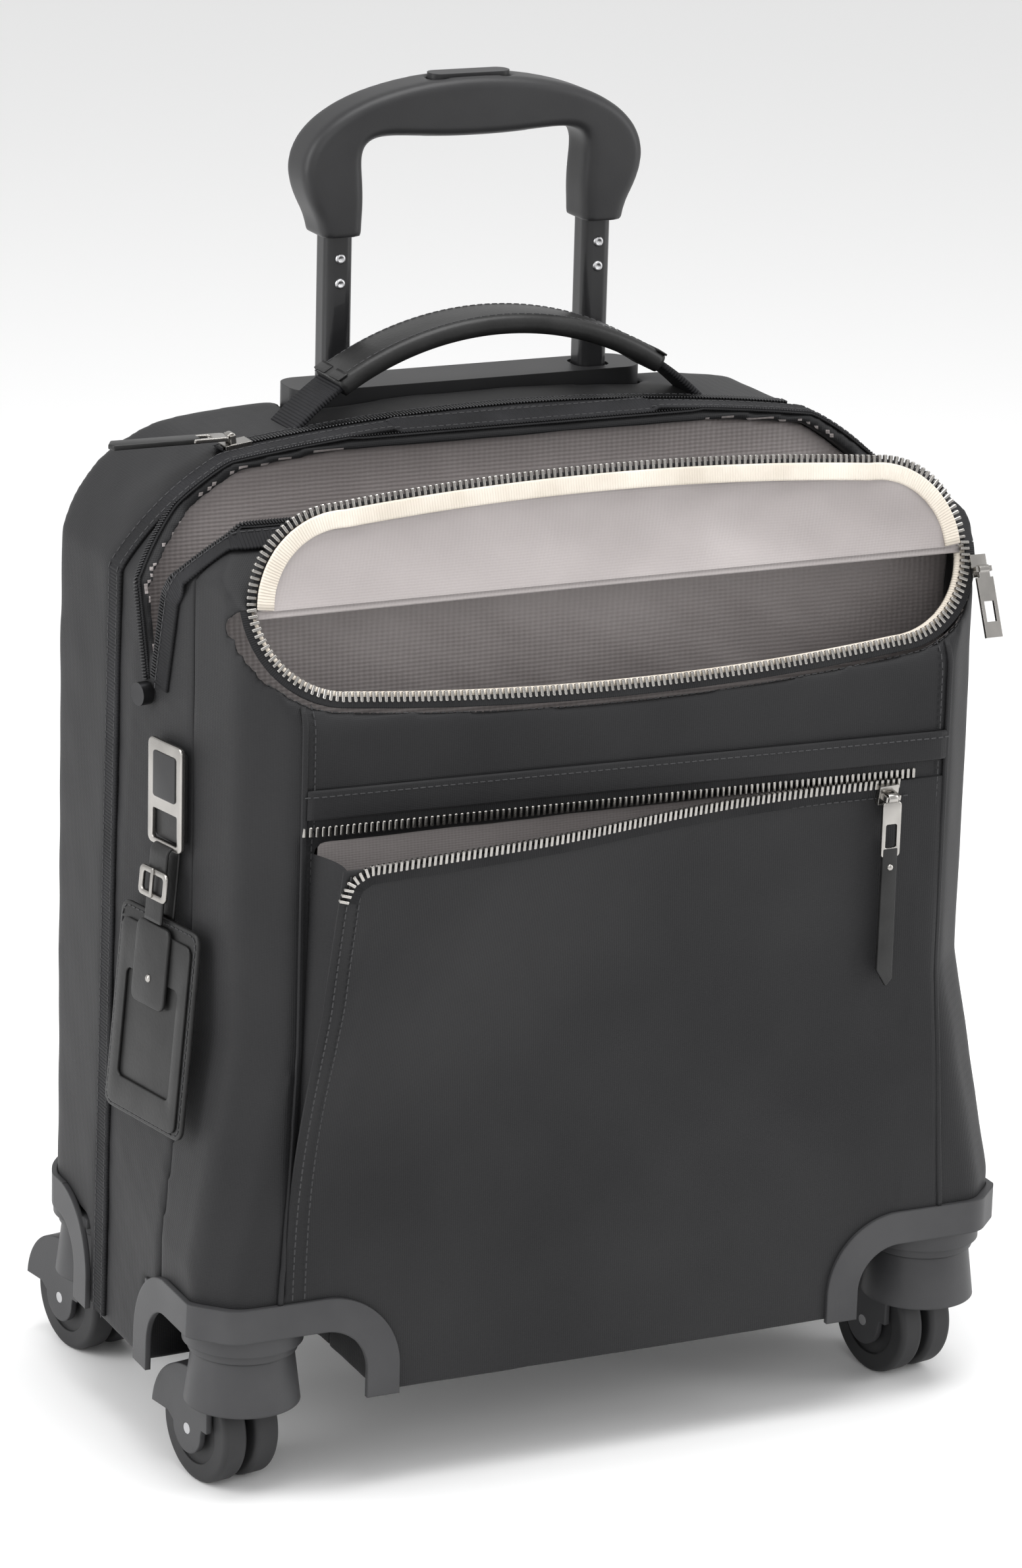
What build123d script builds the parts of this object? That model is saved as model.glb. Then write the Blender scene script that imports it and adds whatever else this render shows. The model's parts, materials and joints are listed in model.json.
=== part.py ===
from build123d import *
import os
from math import asin, atan2, degrees, hypot

# Four-wheeled rolling laptop case, in millimetres.  +Z is up, the front pocket faces -Y, and the
# origin is on the floor under the middle of the case.

# ---- overall sizes ----
WIDTH = 390.0                # over the corner guards
DEPTH = 212.0                # over the corner guards
BODY_TOP = 438.0             # crown of the fabric body
BODY_BOTTOM = 45.0           # underside of the fabric body
HANDLE_TOP = 575.0           # top of the pull handle as it stands at rest

# ---- fabric body ----
GUARD_PROUD = 2.5            # how far the guards stand out from the fabric
WALL = 4.0                   # padded fabric wall
SHOULDER_DROP = 52.0         # crown to the start of the rounded shoulder
SHOULDER_WIDTH = 48.0        # shoulder measured in from the side
CROWN_RISE = 10.0            # bow of the top between the shoulders
TOP_NARROWING = 6.0          # lean-in of each side, floor to shoulder
FRONT_NARROWING = 20.0       # how much narrower each side is at the front, above the guards
FLARE_LOW = 100.0            # height where the narrow front starts to flare
FLARE_HIGH = 205.0           # height where it is fully narrow
FRONT_CORNER = 16.0          # plan radius of the front corners
REAR_CORNER = 40.0           # plan radius of the rear corners
SEAM_Y = 22.0                # joint between main and laptop compartment
LAPTOP_REAR = 14.0           # rear face of the laptop space
LAPTOP_FRONT = -50.0         # front face of the laptop space
REAR_ROUND = 30.0            # rounding of the rear top edge

# ---- laptop compartment zip ----
MOUTH_LOW = 345.0            # lower ends of the zip on both sides
MOUTH_NARROW = (385.0, 8.0)  # height and half-width where the side slit starts to spread
MOUTH_FULL = 412.0           # height where it has spread to the full width
COIL = 3.0                   # width of one coil half
MOUTH_REAR = 8.0             # rear edge of the cut for the mouth
MOUTH_FRONT = -46.0          # and its front edge
BAND_WIDTH = 12.0            # ribbed band beside it
BAND_PROUD = 1.5

# ---- front pockets ----
SKIN = 3.0                   # front fabric
ORGANISER_WALL = 6.0         # padded wall between laptop and front pocket
POCKET_SPLIT = 3.0           # wall between upper and lower pocket
LOWER_POCKET_DEPTH = 7.5
FLAP_HINGE_Y = -82.0         # hinge line of the upper flap
FLAP_HINGE_Z = 390.0
LIP_Z = 343.0                # lowest point of the upper pocket's mouth
FLAP_HALF = 166.0            # half the hinge line
LID_DEPTH = 46.0             # hinge line to the lowest point of the flap
FLAP_OPEN = 168.0            # degrees from closed to the position it rests in
CHAIN = 3.0                  # width of one zip half
CHAIN_THICK = 2.5
ZIP_GAP = 0.6                # between the two halves when closed

# ---- lower pocket ----
ZIP_Z = 298.0                # zip height at the left end
ZIP_FALL = 4.0               # how much lower it is at the right end
ZIP_LEFT = -150.0
ZIP_RIGHT = 134.0
TACK_X = -156.0              # lower end of the free side edge
TACK_Z = 96.0
POCKET_OPEN = 12.5           # degrees that the loose corner hangs open

# ---- corner guards and casters ----
CASTER_X = 164.0
CASTER_Y = 78.0
WELL_X = 112.0               # inner side of the wheel well, from the middle
WELL_Y = 35.0
WELL_TOP = 84.0
GUARD_BAND = 15.0            # width of the guard's rim
GUARD_INSIDE_X = 118.0       # the rim's inner edge on the front and rear faces
GUARD_INSIDE_Y = 44.0        # and on the side faces
GUARD_INSIDE_TOP = 78.0
GUARD_BEND = 20.0            # radius of the rim's inner bend
GUARD_PLATE = 4.0
HOUSING_STEP = 4.0
HEADING = 10.0               # all four casters point this many degrees off straight back
TRAIL = 16.0
WHEEL_RADIUS = 25.0
WHEEL_WIDTH = 12.0
WHEEL_SPACING = 16.0
AXLE_RADIUS = 2.5
KINGPIN_RADIUS = 4.0
PIN_SEAT = 52.0              # height of the shoulder under the fork
RUNNING_FIT = 0.05           # radial clearance of everything that turns
HOUSING_RADIUS = 26.0
HOUSING_LOW = 66.0
FORK_TOP = 65.5
FORK_RADIUS = 24.0
FORK_LEG = 2.6
WHEEL_GAP = 1.0              # wheel to fork
FORK_LOW = 42.0              # lower edge of the conical hood
LEG_RADIUS = 11.0            # rounded end of each leg, round the axle
PIN_HEAD = (6.5, 3.0)        # radius and height of the kingpin's head

# ---- pull handle ----
TUBE_X = 62.0                # from the middle to each tube
TUBE_Y = 80.0
INNER_TUBE = (13.2, 14.0)    # width and depth of the thinnest stage
TUBE_ROUND = 4.0
TUBE_WALL = 1.2
TUBE_SLIP = 0.2              # between one stage and the next
SOCKET_LOW = 508.0           # lower ends of the grip's sockets
SOCKET_DEEP = 20.0
BASE_BOARD = 3.0
INNER_LOW = 126.0
MIDDLE_LOW = 58.0
BEZEL_HIGH = 442.0
BEZEL_LOW = 427.0
GRIP_DEPTH = 25.0
GRIP_WALL = 2.6
BUTTON_TRAVEL = 5.0
BUTTON_SIZE = (38.0, 11.0)
BUTTON_GAP = 0.3
BUTTON_PROUD = 1.0
BUTTON_LENGTH = 13.0
SPRING_LOW = 552.0           # seat of the return spring inside the grip
ROD_X = 62.6
ROD = 2.4                    # push rods inside the tubes
ROD_DEPTH = 3.2
PIN_RADIUS = 1.9             # spring pins that lock the stages
PIN_TRAVEL = 1.4
PIN_HALF = 1.5               # half the height of the pin's carrier
PIN_Z = 134.0
EXTEND_INNER = 245.0         # how far the inner stage still pulls out
RETRACT_INNER = 65.0         # and how far it pushes in

# ---- carry handle ----
CARRY_Y = 48.0
CARRY_HALF = 98.0
CARRY_RISE = 33.0
WEBBING = (25.0, 3.0)
LEATHER = (28.0, 3.0)        # width of the grip, and its thickness on each side of the webbing
LEATHER_HALF = 76.0

MAIN_ZIP_Y = 29.0
MAIN_ZIP_HALF = 136.0
MAIN_SLIDER_X = 128.0
MAIN_PULL = 56.0             # length of the ring and tab together
MAIN_DROOP = 27.0            # degrees that the tab hangs over the shoulder
HOOP_Y = 38.0
HOOP_HALF = 177.0
HOOP_TOP = 417.0
HOOP_RADIUS = 2.5
HINGE_GAP = 4.0              # fabric left free beside a fold
PULL_PIN = 0.8               # pin radius in every zip pull
PULL_STAND = 2.6             # pin above the slider
KNUCKLE = 1.9
KNUCKLE_HALF = 2.4
SLIDER_LIFT = 1.0
UPPER_SLIDER = (7.6, 10.0, 2.2)
UPPER_SLIDER_DOWN = 11.0     # its centre, down the slope from the fold
PULL_LEAN = 11.5             # outward lean that lets the lower pull hang plumb
SLIDER_BACK = 14.0            # lower slider's centre, back from the zip's end
PULL_LENGTH = 86.0
TAG_Y = -38.0
TAG_Z = 300.0
TAG_BAR = (3.0, 1.8)         # height and thickness of the bar that carries the strap
TAG_BAR_Z = 4.1              # its distance from the fabric
STRAP_DROP = 31.0
TAG_LENGTH = 91.0
TAG_LEAN = 5.5               # outward lean over the flared side

CLEAR = 0.5                  # between soft pieces that move past each other
SKIN_GAP = 0.3


def block(x0, x1, y0, y1, z0, z1):
    """A box from its six limits."""
    return Pos((x0 + x1) / 2, (y0 + y1) / 2, (z0 + z1) / 2) * Box(x1 - x0, y1 - y0, z1 - z0)


def mirrored_x(shape):
    return shape + mirror(shape, Plane.YZ)


FABRIC_HALF = WIDTH / 2 - GUARD_PROUD
FRONT_Y = -DEPTH / 2 + GUARD_PROUD
REAR_Y = DEPTH / 2 - GUARD_PROUD
BIG = 1000.0


# ---- the fabric envelope ----
def front_outline(inset):
    """The case seen from the front: leaning sides, round shoulders and a bowed top."""
    low = FABRIC_HALF - inset
    high = low - TOP_NARROWING
    top = BODY_TOP - inset
    crown = high - SHOULDER_WIDTH
    shoulder = top - SHOULDER_DROP
    edge = top - CROWN_RISE
    knee = (high - SHOULDER_WIDTH * 0.36, edge - (SHOULDER_DROP - CROWN_RISE) * 0.52)
    bottom = BODY_BOTTOM + inset
    side = Polyline((0, bottom), (low, bottom), (high, shoulder))
    bend = ThreePointArc((high, shoulder), knee, (crown, edge))
    bow = ThreePointArc((crown, edge), (crown / 2, top - CROWN_RISE / 4), (0, top))
    half = side + bend + bow
    return make_face(half + mirror(half, Plane.YZ))


def plan_outline(inset, narrowing):
    """The case seen from above, tapering towards the front."""
    wide = FABRIC_HALF - inset
    front = wide - narrowing
    low, high = FRONT_Y + inset, REAR_Y - inset
    corner = FRONT_CORNER + narrowing * 0.25
    points = [(-wide, high), (-wide, SEAM_Y), (-front, low + corner), (-front + corner, low)]
    points += [(front - corner, low), (front, low + corner), (wide, SEAM_Y), (wide, high)]
    outline = make_face(Polyline(*points, close=True))
    outline = fillet(outline.vertices().filter_by(lambda v: v.Y < SEAM_Y - 1), corner * 0.8)
    return fillet(outline.vertices().filter_by(lambda v: v.Y > high - 1), REAR_CORNER - inset)


def side_outline(inset):
    """The case seen from the side, with the top sloping down to the front."""
    slope = (FLAP_HINGE_Z - LIP_Z) / (FRONT_Y - FLAP_HINGE_Y)
    length = hypot(FLAP_HINGE_Z - LIP_Z, FRONT_Y - FLAP_HINGE_Y)
    shift = (length / (FLAP_HINGE_Z - LIP_Z) - 1 / abs(slope)) * inset
    low, high = FRONT_Y + inset, REAR_Y - inset
    top = BODY_TOP - inset
    points = [(low, BODY_BOTTOM + inset), (low, LIP_Z - shift)]
    points += [(FLAP_HINGE_Y + inset * 0.6, FLAP_HINGE_Z - inset), (LAPTOP_FRONT, BODY_TOP - 22 - inset)]
    points += [(SEAM_Y, top), (high, top), (high, BODY_BOTTOM + inset)]
    outline = make_face(Polyline(*points, close=True))
    rear_edge = outline.vertices().filter_by(lambda v: v.X > high - 1 and v.Y > top - 1)
    return fillet(rear_edge, REAR_ROUND)


def envelope(inset):
    """The outer shape of the fabric body, taken in by a wall thickness."""
    across = extrude(Plane.XZ * front_outline(inset), BIG / 2, both=True)
    along = extrude(Plane.YZ * side_outline(inset), BIG / 2, both=True)
    full = plan_outline(inset, 0.0)
    narrow = plan_outline(inset, FRONT_NARROWING)
    foot = extrude(Pos(0, 0, BODY_BOTTOM) * full, FLARE_LOW - BODY_BOTTOM)
    flare = loft([Pos(0, 0, FLARE_LOW) * full, Pos(0, 0, FLARE_HIGH) * narrow], ruled=True)
    waist = extrude(Pos(0, 0, FLARE_HIGH) * narrow, BODY_TOP + 20 - FLARE_HIGH)
    return (foot + flare + waist) & across & along


def wells(grown):
    """The four open corners that the casters stand in."""
    room = Part()
    for sx in (-1, 1):
        for sy in (-1, 1):
            x0, x1 = sorted((sx * (WELL_X - grown), sx * BIG))
            y0, y1 = sorted((sy * (WELL_Y - grown), sy * BIG))
            room += block(x0, x1, y0, y1, 0, WELL_TOP + grown)
    return room


def ring(low_y, high_y, low_z=BODY_BOTTOM):
    """A slice of the fabric wall between two planes across the case."""
    return FABRIC_WALL & block(-BIG, BIG, low_y, high_y, low_z, BIG)


def slab(shape, low_y, high_y):
    return shape & block(-BIG, BIG, low_y, high_y, 0, BIG)


OUTSIDE = envelope(0.0)
INSIDE = envelope(WALL)
LINED = envelope(SKIN)
FABRIC = OUTSIDE - wells(0.0)
FABRIC_HOLLOW = INSIDE - wells(WALL)
FABRIC_WALL = FABRIC - FABRIC_HOLLOW
GUARD_SKIN = envelope(-GUARD_PROUD) - OUTSIDE


# ---- telescopic handle ----
def tube_section(stage, outside=True):
    """Width, depth and corner of one stage: 0 inner, 1 middle, 2 outer."""
    grow = 2 * stage * (TUBE_WALL + TUBE_SLIP) - (0 if outside else 2 * TUBE_WALL)
    return RectangleRounded(INNER_TUBE[0] + grow, INNER_TUBE[1] + grow, TUBE_ROUND + grow / 2)


def tubes(stage, low, high):
    """The pair of tubes of one stage."""
    section = tube_section(stage) - tube_section(stage, outside=False)
    one = Pos(TUBE_X, TUBE_Y, low) * extrude(section, high - low)
    return mirrored_x(one)


def pin_hole(height, radius):
    """Cross holes through the rear walls of both tubes at one height."""
    one = Pos(ROD_X, TUBE_Y, height) * (Rot(-90, 0, 0) * extrude(Circle(radius), 20))
    return mirrored_x(one)


def handle_tubes():
    tray_top = BODY_BOTTOM + WALL + BASE_BOARD
    outer = tubes(2, tray_top, BEZEL_LOW)
    middle = tubes(1, MIDDLE_LOW, BEZEL_HIGH - 1)
    inner = tubes(0, INNER_LOW, SOCKET_LOW + SOCKET_DEEP)
    middle -= pin_hole(PIN_Z - RETRACT_INNER, PIN_RADIUS + 0.2)
    middle -= pin_hole(PIN_Z + EXTEND_INNER, PIN_RADIUS + 0.2)
    inner -= pin_hole(PIN_Z, PIN_RADIUS + 0.1)
    return {"outer_tubes": outer, "middle_tubes": middle, "inner_tubes": inner}


def bezel():
    plate = Pos(0, TUBE_Y, BEZEL_LOW) * extrude(RectangleRounded(2 * TUBE_X + 44, 28, 10),
                                                BEZEL_HIGH - BEZEL_LOW)
    grow = 2 * (TUBE_WALL + TUBE_SLIP) + 2 * TUBE_SLIP
    hole = RectangleRounded(INNER_TUBE[0] + grow, INNER_TUBE[1] + grow, TUBE_ROUND + grow / 2)
    return plate - mirrored_x(Pos(TUBE_X, TUBE_Y, BEZEL_LOW) * extrude(hole, 40))


def grip_outline(inset):
    """The grip from the front: a wide loop whose legs bow outwards above the sockets."""
    top, foot = HANDLE_TOP - inset, SOCKET_LOW
    outer = [(0, top), (38, top - 4), (63 - 0.6 * inset, top - 13), (77.5 - 0.9 * inset, top - 26)]
    outer += [(81 - inset, top - 38), (77 - inset, top - 53), (72 - inset, foot)]
    inner = [(53 + inset, foot), (52.6 + inset, foot + 13), (53.2 + inset, foot + 28)]
    inner += [(52 + 0.5 * inset, foot + 39 + 0.9 * inset), (34, foot + 42.5 + inset), (0, foot + 41 + inset)]
    up = Spline(*outer, tangents=[(1, 0), (-0.15, -1)])
    across = Line(outer[-1], inner[0])
    down = Spline(*inner, tangents=[(0.05, 1), (-1, 0)])
    half = up + across + down
    return make_face(half + mirror(half, Plane.YZ))


def grip():
    """Two moulded halves that close round the tube ends and the release linkage."""
    solid = Pos(0, TUBE_Y, 0) * extrude(Plane.XZ * grip_outline(0.0), GRIP_DEPTH / 2, both=True)
    hollow = extrude(Plane.XZ * grip_outline(GRIP_WALL), GRIP_DEPTH / 2 - GRIP_WALL, both=True)
    hollow = Pos(0, TUBE_Y, 0) * hollow & block(-BIG, BIG, 0, BIG, SOCKET_LOW + SOCKET_DEEP, BIG)
    socket = Pos(TUBE_X, TUBE_Y, SOCKET_LOW) * extrude(tube_section(0), SOCKET_DEEP + 4)
    long_edges = solid.edges().filter_by(lambda e: e.length > 60 and abs(e.center().Y - TUBE_Y) > 5)
    solid = fillet(long_edges, 5.0)
    solid -= hollow
    solid -= mirrored_x(socket)
    well = RectangleRounded(BUTTON_SIZE[0] + 2 * BUTTON_GAP, BUTTON_SIZE[1] + 2 * BUTTON_GAP, 5)
    solid -= Pos(0, TUBE_Y, HANDLE_TOP - 10) * extrude(well, 20)
    front = solid & block(-BIG, BIG, 0, TUBE_Y, 0, BIG)
    rear = solid & block(-BIG, BIG, TUBE_Y, BIG, 0, BIG)
    return {"grip_front": front, "grip_rear": rear}


def release_linkage():
    """Button, return spring, push rods and the lock pins that the rods draw in."""
    floor = HANDLE_TOP + BUTTON_PROUD - BUTTON_LENGTH
    plug = RectangleRounded(BUTTON_SIZE[0], BUTTON_SIZE[1], 5)
    button = Pos(0, TUBE_Y, floor) * extrude(plug, BUTTON_LENGTH)
    spring = Pos(0, TUBE_Y, SPRING_LOW) * extrude(Circle(3.5) - Circle(2.3), floor - SPRING_LOW)
    bar_z = floor - ROD
    elbow = SOCKET_LOW + SOCKET_DEEP + 15
    reach = ROD_X - 9
    arm = block(8, reach, TUBE_Y - ROD / 2, TUBE_Y + ROD / 2, bar_z, floor)
    right, left = ROD_X + ROD / 2, ROD_X - ROD / 2
    slope = Plane.XZ * make_face(Polyline((reach, floor), (right, elbow + 4), (right, elbow),
                                          (left, elbow), (reach - 1.5, bar_z), close=True))
    slope = Pos(0, TUBE_Y, 0) * extrude(slope, ROD / 2, both=True)
    front, back = TUBE_Y - ROD_DEPTH / 2, TUBE_Y + ROD_DEPTH / 2
    wedge_low, wedge_high = PIN_Z - PIN_HALF, PIN_Z + PIN_HALF + BUTTON_TRAVEL
    stem = block(ROD_X - ROD / 2, ROD_X + ROD / 2, front, back, wedge_high, elbow)
    wedge = make_face(Polyline((back, wedge_high), (front, wedge_high),
                               (front + wedge_shift(wedge_low), wedge_low),
                               (back, wedge_low), close=True))
    wedge = Pos(ROD_X - ROD / 2, 0, 0) * extrude(Plane.YZ * wedge, ROD)
    rods = mirrored_x(arm + slope + stem + wedge)
    return {"release_button": button, "button_spring": spring, "push_rods": rods,
            "lock_pins": lock_pins(front)}


def wedge_shift(height):
    """How far the wedge's front face has moved back at a height below its root."""
    return (PIN_Z + PIN_HALF + BUTTON_TRAVEL - height) * PIN_TRAVEL / BUTTON_TRAVEL


def lock_pins(rod_front):
    """A pin in each inner tube, in a carrier whose lug rests against the rod's wedge."""
    half, side = PIN_HALF, ROD / 2 + 0.3
    lug = make_face(Polyline(
        (rod_front + wedge_shift(PIN_Z + half) - RUNNING_FIT, PIN_Z + half),
        (rod_front + wedge_shift(PIN_Z - half) - RUNNING_FIT, PIN_Z - half),
        (TUBE_Y - 3.6, PIN_Z - half), (TUBE_Y - 3.6, PIN_Z + half), close=True))
    wide = side + 1.0
    lug = Pos(ROD_X - wide, 0, 0) * extrude(Plane.YZ * lug, 2 * wide)
    low, high = PIN_Z - half, PIN_Z + half
    left = block(ROD_X - wide, ROD_X - side, TUBE_Y - 3.6, TUBE_Y + 5.2, low, high)
    right = block(ROD_X + side, ROD_X + wide, TUBE_Y - 3.6, TUBE_Y + 5.2, low, high)
    bridge = block(ROD_X - wide, ROD_X + wide, TUBE_Y + 3.8, TUBE_Y + 5.2, low, high)
    wall = TUBE_Y + INNER_TUBE[1] / 2 + TUBE_SLIP - 0.1
    pin = Pos(ROD_X, TUBE_Y + 5.0, PIN_Z) * (Rot(-90, 0, 0) * extrude(Circle(PIN_RADIUS - 0.4),
                                                                      wall - TUBE_Y - 5.0))
    return mirrored_x(lug + left + right + bridge + pin)


# ---- corner guards and casters ----
def arch(edge, top, bend):
    """Everything beyond a wheel arch's edge and below its top, with a round bend between."""
    face = make_face(Polyline((edge, -BIG), (edge, top), (BIG, top), (BIG, -BIG), close=True))
    return fillet(face.vertices().filter_by(lambda v: abs(v.X - edge) < 1 and v.Y > 0), bend)


def corner_guard(sx, sy):
    """Moulded rim that wraps one corner, with its ceiling plate and the caster's housing."""
    back = sy * BIG
    high, low = GUARD_INSIDE_TOP + GUARD_BAND, GUARD_INSIDE_TOP
    front = arch(GUARD_INSIDE_X - GUARD_BAND, high, GUARD_BEND + GUARD_BAND)
    front -= arch(GUARD_INSIDE_X, low, GUARD_BEND)
    side = arch(GUARD_INSIDE_Y - GUARD_BAND, high, GUARD_BEND + GUARD_BAND)
    side -= arch(GUARD_INSIDE_Y, low, GUARD_BEND)
    front_band = extrude(Plane.XZ * front, BIG, both=True)
    side = mirror(side, Plane.YZ) if sy < 0 else side
    side_band = extrude(Plane.YZ * side, BIG)
    front_band &= GUARD_SKIN & span(0, BIG, 60 * sy, back, BODY_BOTTOM, BIG)
    side_band &= GUARD_SKIN & span(148, BIG, 0, back, BODY_BOTTOM, BIG)
    plate = OUTSIDE & span(WELL_X, BIG, WELL_Y * sy, back, WELL_TOP - GUARD_PLATE, WELL_TOP)
    middle = Pos(CASTER_X, CASTER_Y * sy, 0)
    step_top, housing_top = HOUSING_LOW + HOUSING_STEP, WELL_TOP - GUARD_PLATE
    housing = middle * Pos(0, 0, HOUSING_LOW) * extrude(Circle(HOUSING_RADIUS - 2.5), HOUSING_STEP)
    housing += middle * Pos(0, 0, step_top) * extrude(Circle(HOUSING_RADIUS), housing_top - step_top)
    bore = middle * extrude(Circle(KINGPIN_RADIUS), BIG)
    guard = front_band + side_band + plate + housing - bore
    return mirror(guard, Plane.YZ) if sx < 0 else guard


def span(x0, x1, y0, y1, z0, z1):
    """A box whose Y limits may come in either order."""
    return block(x0, x1, min(y0, y1), max(y0, y1), z0, z1)


def kingpins():
    pins = Part()
    for sx in (-1, 1):
        for sy in (-1, 1):
            pin = extrude(Circle(KINGPIN_RADIUS), WELL_TOP - FORK_LOW - PIN_HEAD[1])
            head = extrude(Circle(PIN_HEAD[0]), -PIN_HEAD[1])
            pins += Pos(sx * CASTER_X, sy * CASTER_Y, PIN_SEAT) * (pin + head) & \
                block(-BIG, BIG, -BIG, BIG, 0, WELL_TOP)
    return pins


def caster(sx, sy):
    """Fork, axle and the two wheels of one caster, all turned to the shared heading."""
    place = Pos(sx * CASTER_X, sy * CASTER_Y, 0) * Rot(0, 0, HEADING)
    hub_y, hub_z = TRAIL, WHEEL_RADIUS
    slot_radius = WHEEL_RADIUS + WHEEL_GAP
    outer_face = WHEEL_SPACING / 2 + WHEEL_WIDTH / 2 + WHEEL_GAP
    half = outer_face + FORK_LEG
    cone = Pos(0, 0, (FORK_LOW + FORK_TOP) / 2) * Cone(FORK_RADIUS + 1, FORK_RADIUS - 2,
                                                      FORK_TOP - FORK_LOW)
    hood = Pos(hub_y, hub_z) * Circle(slot_radius + FORK_LEG) & Pos(40, hub_z + 43) * Rectangle(80, 80)
    leg = Pos(hub_y, hub_z) * Circle(LEG_RADIUS)
    leg += make_face(Polyline((hub_y - LEG_RADIUS, hub_z), (hub_y + LEG_RADIUS, hub_z),
                              (hub_y + LEG_RADIUS + 12, hub_z + 8), (0, hub_z + 20), close=True))
    body = cone + extrude(Plane.YZ * (hood + leg), half, both=True)
    slot = cross_bar(slot_radius, WHEEL_WIDTH + 2 * WHEEL_GAP)
    for side in (-1, 1):
        body -= Pos(side * WHEEL_SPACING / 2, hub_y, hub_z) * slot
    body -= extrude(Circle(KINGPIN_RADIUS + RUNNING_FIT), BIG)
    body -= extrude(Circle(PIN_HEAD[0] + 0.5), PIN_SEAT - RUNNING_FIT + 0.1)
    axle = Pos(0, hub_y, hub_z) * cross_bar(AXLE_RADIUS, 2 * half)
    body -= axle
    wheel = cross_bar(WHEEL_RADIUS, WHEEL_WIDTH)
    wheel = fillet(wheel.edges(), 2.5)
    wheel -= cross_bar(AXLE_RADIUS + RUNNING_FIT, WHEEL_WIDTH + 1)
    dish = cross_bar(WHEEL_RADIUS * 0.66, 1.2) - cross_bar(WHEEL_RADIUS * 0.3, 2)
    wheel -= Pos(WHEEL_WIDTH / 2 - 0.6, 0, 0) * dish
    wheel -= Pos(-WHEEL_WIDTH / 2 + 0.6, 0, 0) * dish
    left = Pos(-WHEEL_SPACING / 2, hub_y, hub_z) * wheel
    right = Pos(WHEEL_SPACING / 2, hub_y, hub_z) * wheel
    return {"fork": place * body, "axle": place * axle, "wheel_left": place * left,
            "wheel_right": place * right}


def cross_bar(radius, length):
    """A cylinder along X, centred."""
    return Rot(0, 90, 0) * Cylinder(radius, length)


# ---- carry handle ----
def carry_arc(lift, half):
    """Height curve of the arched handle."""
    top = BODY_TOP + CARRY_RISE + lift
    foot = BODY_TOP - 8 + lift
    return ThreePointArc((-CARRY_HALF, foot), (0, top), (CARRY_HALF, foot))


def carry_strip(low, high, width):
    bottom, top = carry_arc(low, CARRY_HALF), carry_arc(high, CARRY_HALF)
    ends = Line(bottom @ 0, top @ 0) + Line(bottom @ 1, top @ 1)
    strip = extrude(Plane.XZ * make_face(bottom + top + ends), width / 2, both=True)
    return Pos(0, CARRY_Y, 0) * strip


def carry_handle():
    webbing = carry_strip(0, WEBBING[1], WEBBING[0]) - OUTSIDE
    webbing = webbing.solids().sort_by(SortBy.VOLUME)[-1]
    leather = carry_strip(-LEATHER[1], WEBBING[1] + LEATHER[1], LEATHER[0])
    leather &= block(-LEATHER_HALF, LEATHER_HALF, 0, BIG, 0, BIG)
    leather -= webbing
    return {"carry_webbing": webbing, "carry_grip": leather}


# ---- fabric body ----
def upper_lid_plane():
    """The sloping face that the upper flap closes; local +Y runs up the slope."""
    run, fall = FLAP_HINGE_Y - FRONT_Y, FLAP_HINGE_Z - LIP_Z
    return Plane(origin=(0, FLAP_HINGE_Y, FLAP_HINGE_Z), x_dir=(1, 0, 0), z_dir=(0, -fall, run))


def smile(grow):
    """Outline of the upper flap in its own plane, hinge line along the top."""
    deep = LID_DEPTH + grow
    half = FLAP_HALF + grow
    turn = (half * 0.76, -deep * 0.86)
    bottom = ThreePointArc((-turn[0], turn[1]), (0, -deep), turn)
    right = ThreePointArc(turn, (half * 0.95, -deep * 0.52), (half, 0))
    left = ThreePointArc((-half, 0), (-half * 0.95, -deep * 0.52), (-turn[0], turn[1]))
    return make_face(bottom + right + left + Line((half, 0), (-half, 0)))


def lid_prism(grow, high, low):
    return extrude(upper_lid_plane() * Pos(0, 0, low) * smile(grow), high - low,
                   dir=upper_lid_plane().z_dir)


def front_shell():
    """Front fabric with the upper pocket behind it and the lower pocket's opening cut in."""
    shell = slab(FABRIC, -BIG, LAPTOP_FRONT)
    room = LINED - wells(WALL)
    split_front = FRONT_Y + SKIN + LOWER_POCKET_DEPTH
    shell -= slab(room, split_front + POCKET_SPLIT, LAPTOP_FRONT)
    shell -= slab(room, FRONT_Y + SKIN, split_front) & block(ZIP_LEFT + 6, ZIP_RIGHT + 4, -BIG, 0,
                                                             TACK_Z - 30, ZIP_Z - CHAIN - 2)
    shell -= lid_prism(2 * CHAIN + ZIP_GAP, 30, -21) & block(-BIG, BIG, -BIG, LAPTOP_FRONT, 0, BIG)
    shell -= pocket_prism(CLEAR, 0.0)
    return shell


def organiser_wall():
    return slab(LINED - wells(WALL), LAPTOP_FRONT - ORGANISER_WALL, LAPTOP_FRONT)


def zip_z(x):
    return ZIP_Z - ZIP_FALL * (x - ZIP_LEFT) / (ZIP_RIGHT - ZIP_LEFT)


def pocket_face(grow, hinge_gap):
    """Triangle between the tack, the zip's left end and its right end, less a strip at the crease."""
    left_top = (ZIP_LEFT - grow, zip_z(ZIP_LEFT) + grow)
    right_top = (ZIP_RIGHT + grow, zip_z(ZIP_RIGHT) + grow)
    face = make_face(Polyline((TACK_X - grow, TACK_Z), left_top, right_top, (ZIP_RIGHT, zip_z(ZIP_RIGHT)),
                              close=True))
    run = Vector(ZIP_RIGHT - TACK_X, zip_z(ZIP_RIGHT) - TACK_Z)
    lean = degrees(atan2(run.Y, run.X))
    strip = Pos(TACK_X, TACK_Z) * Rot(0, 0, lean) * Rectangle(BIG, 2 * hinge_gap)
    return face - strip if hinge_gap > 0 else face


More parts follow.
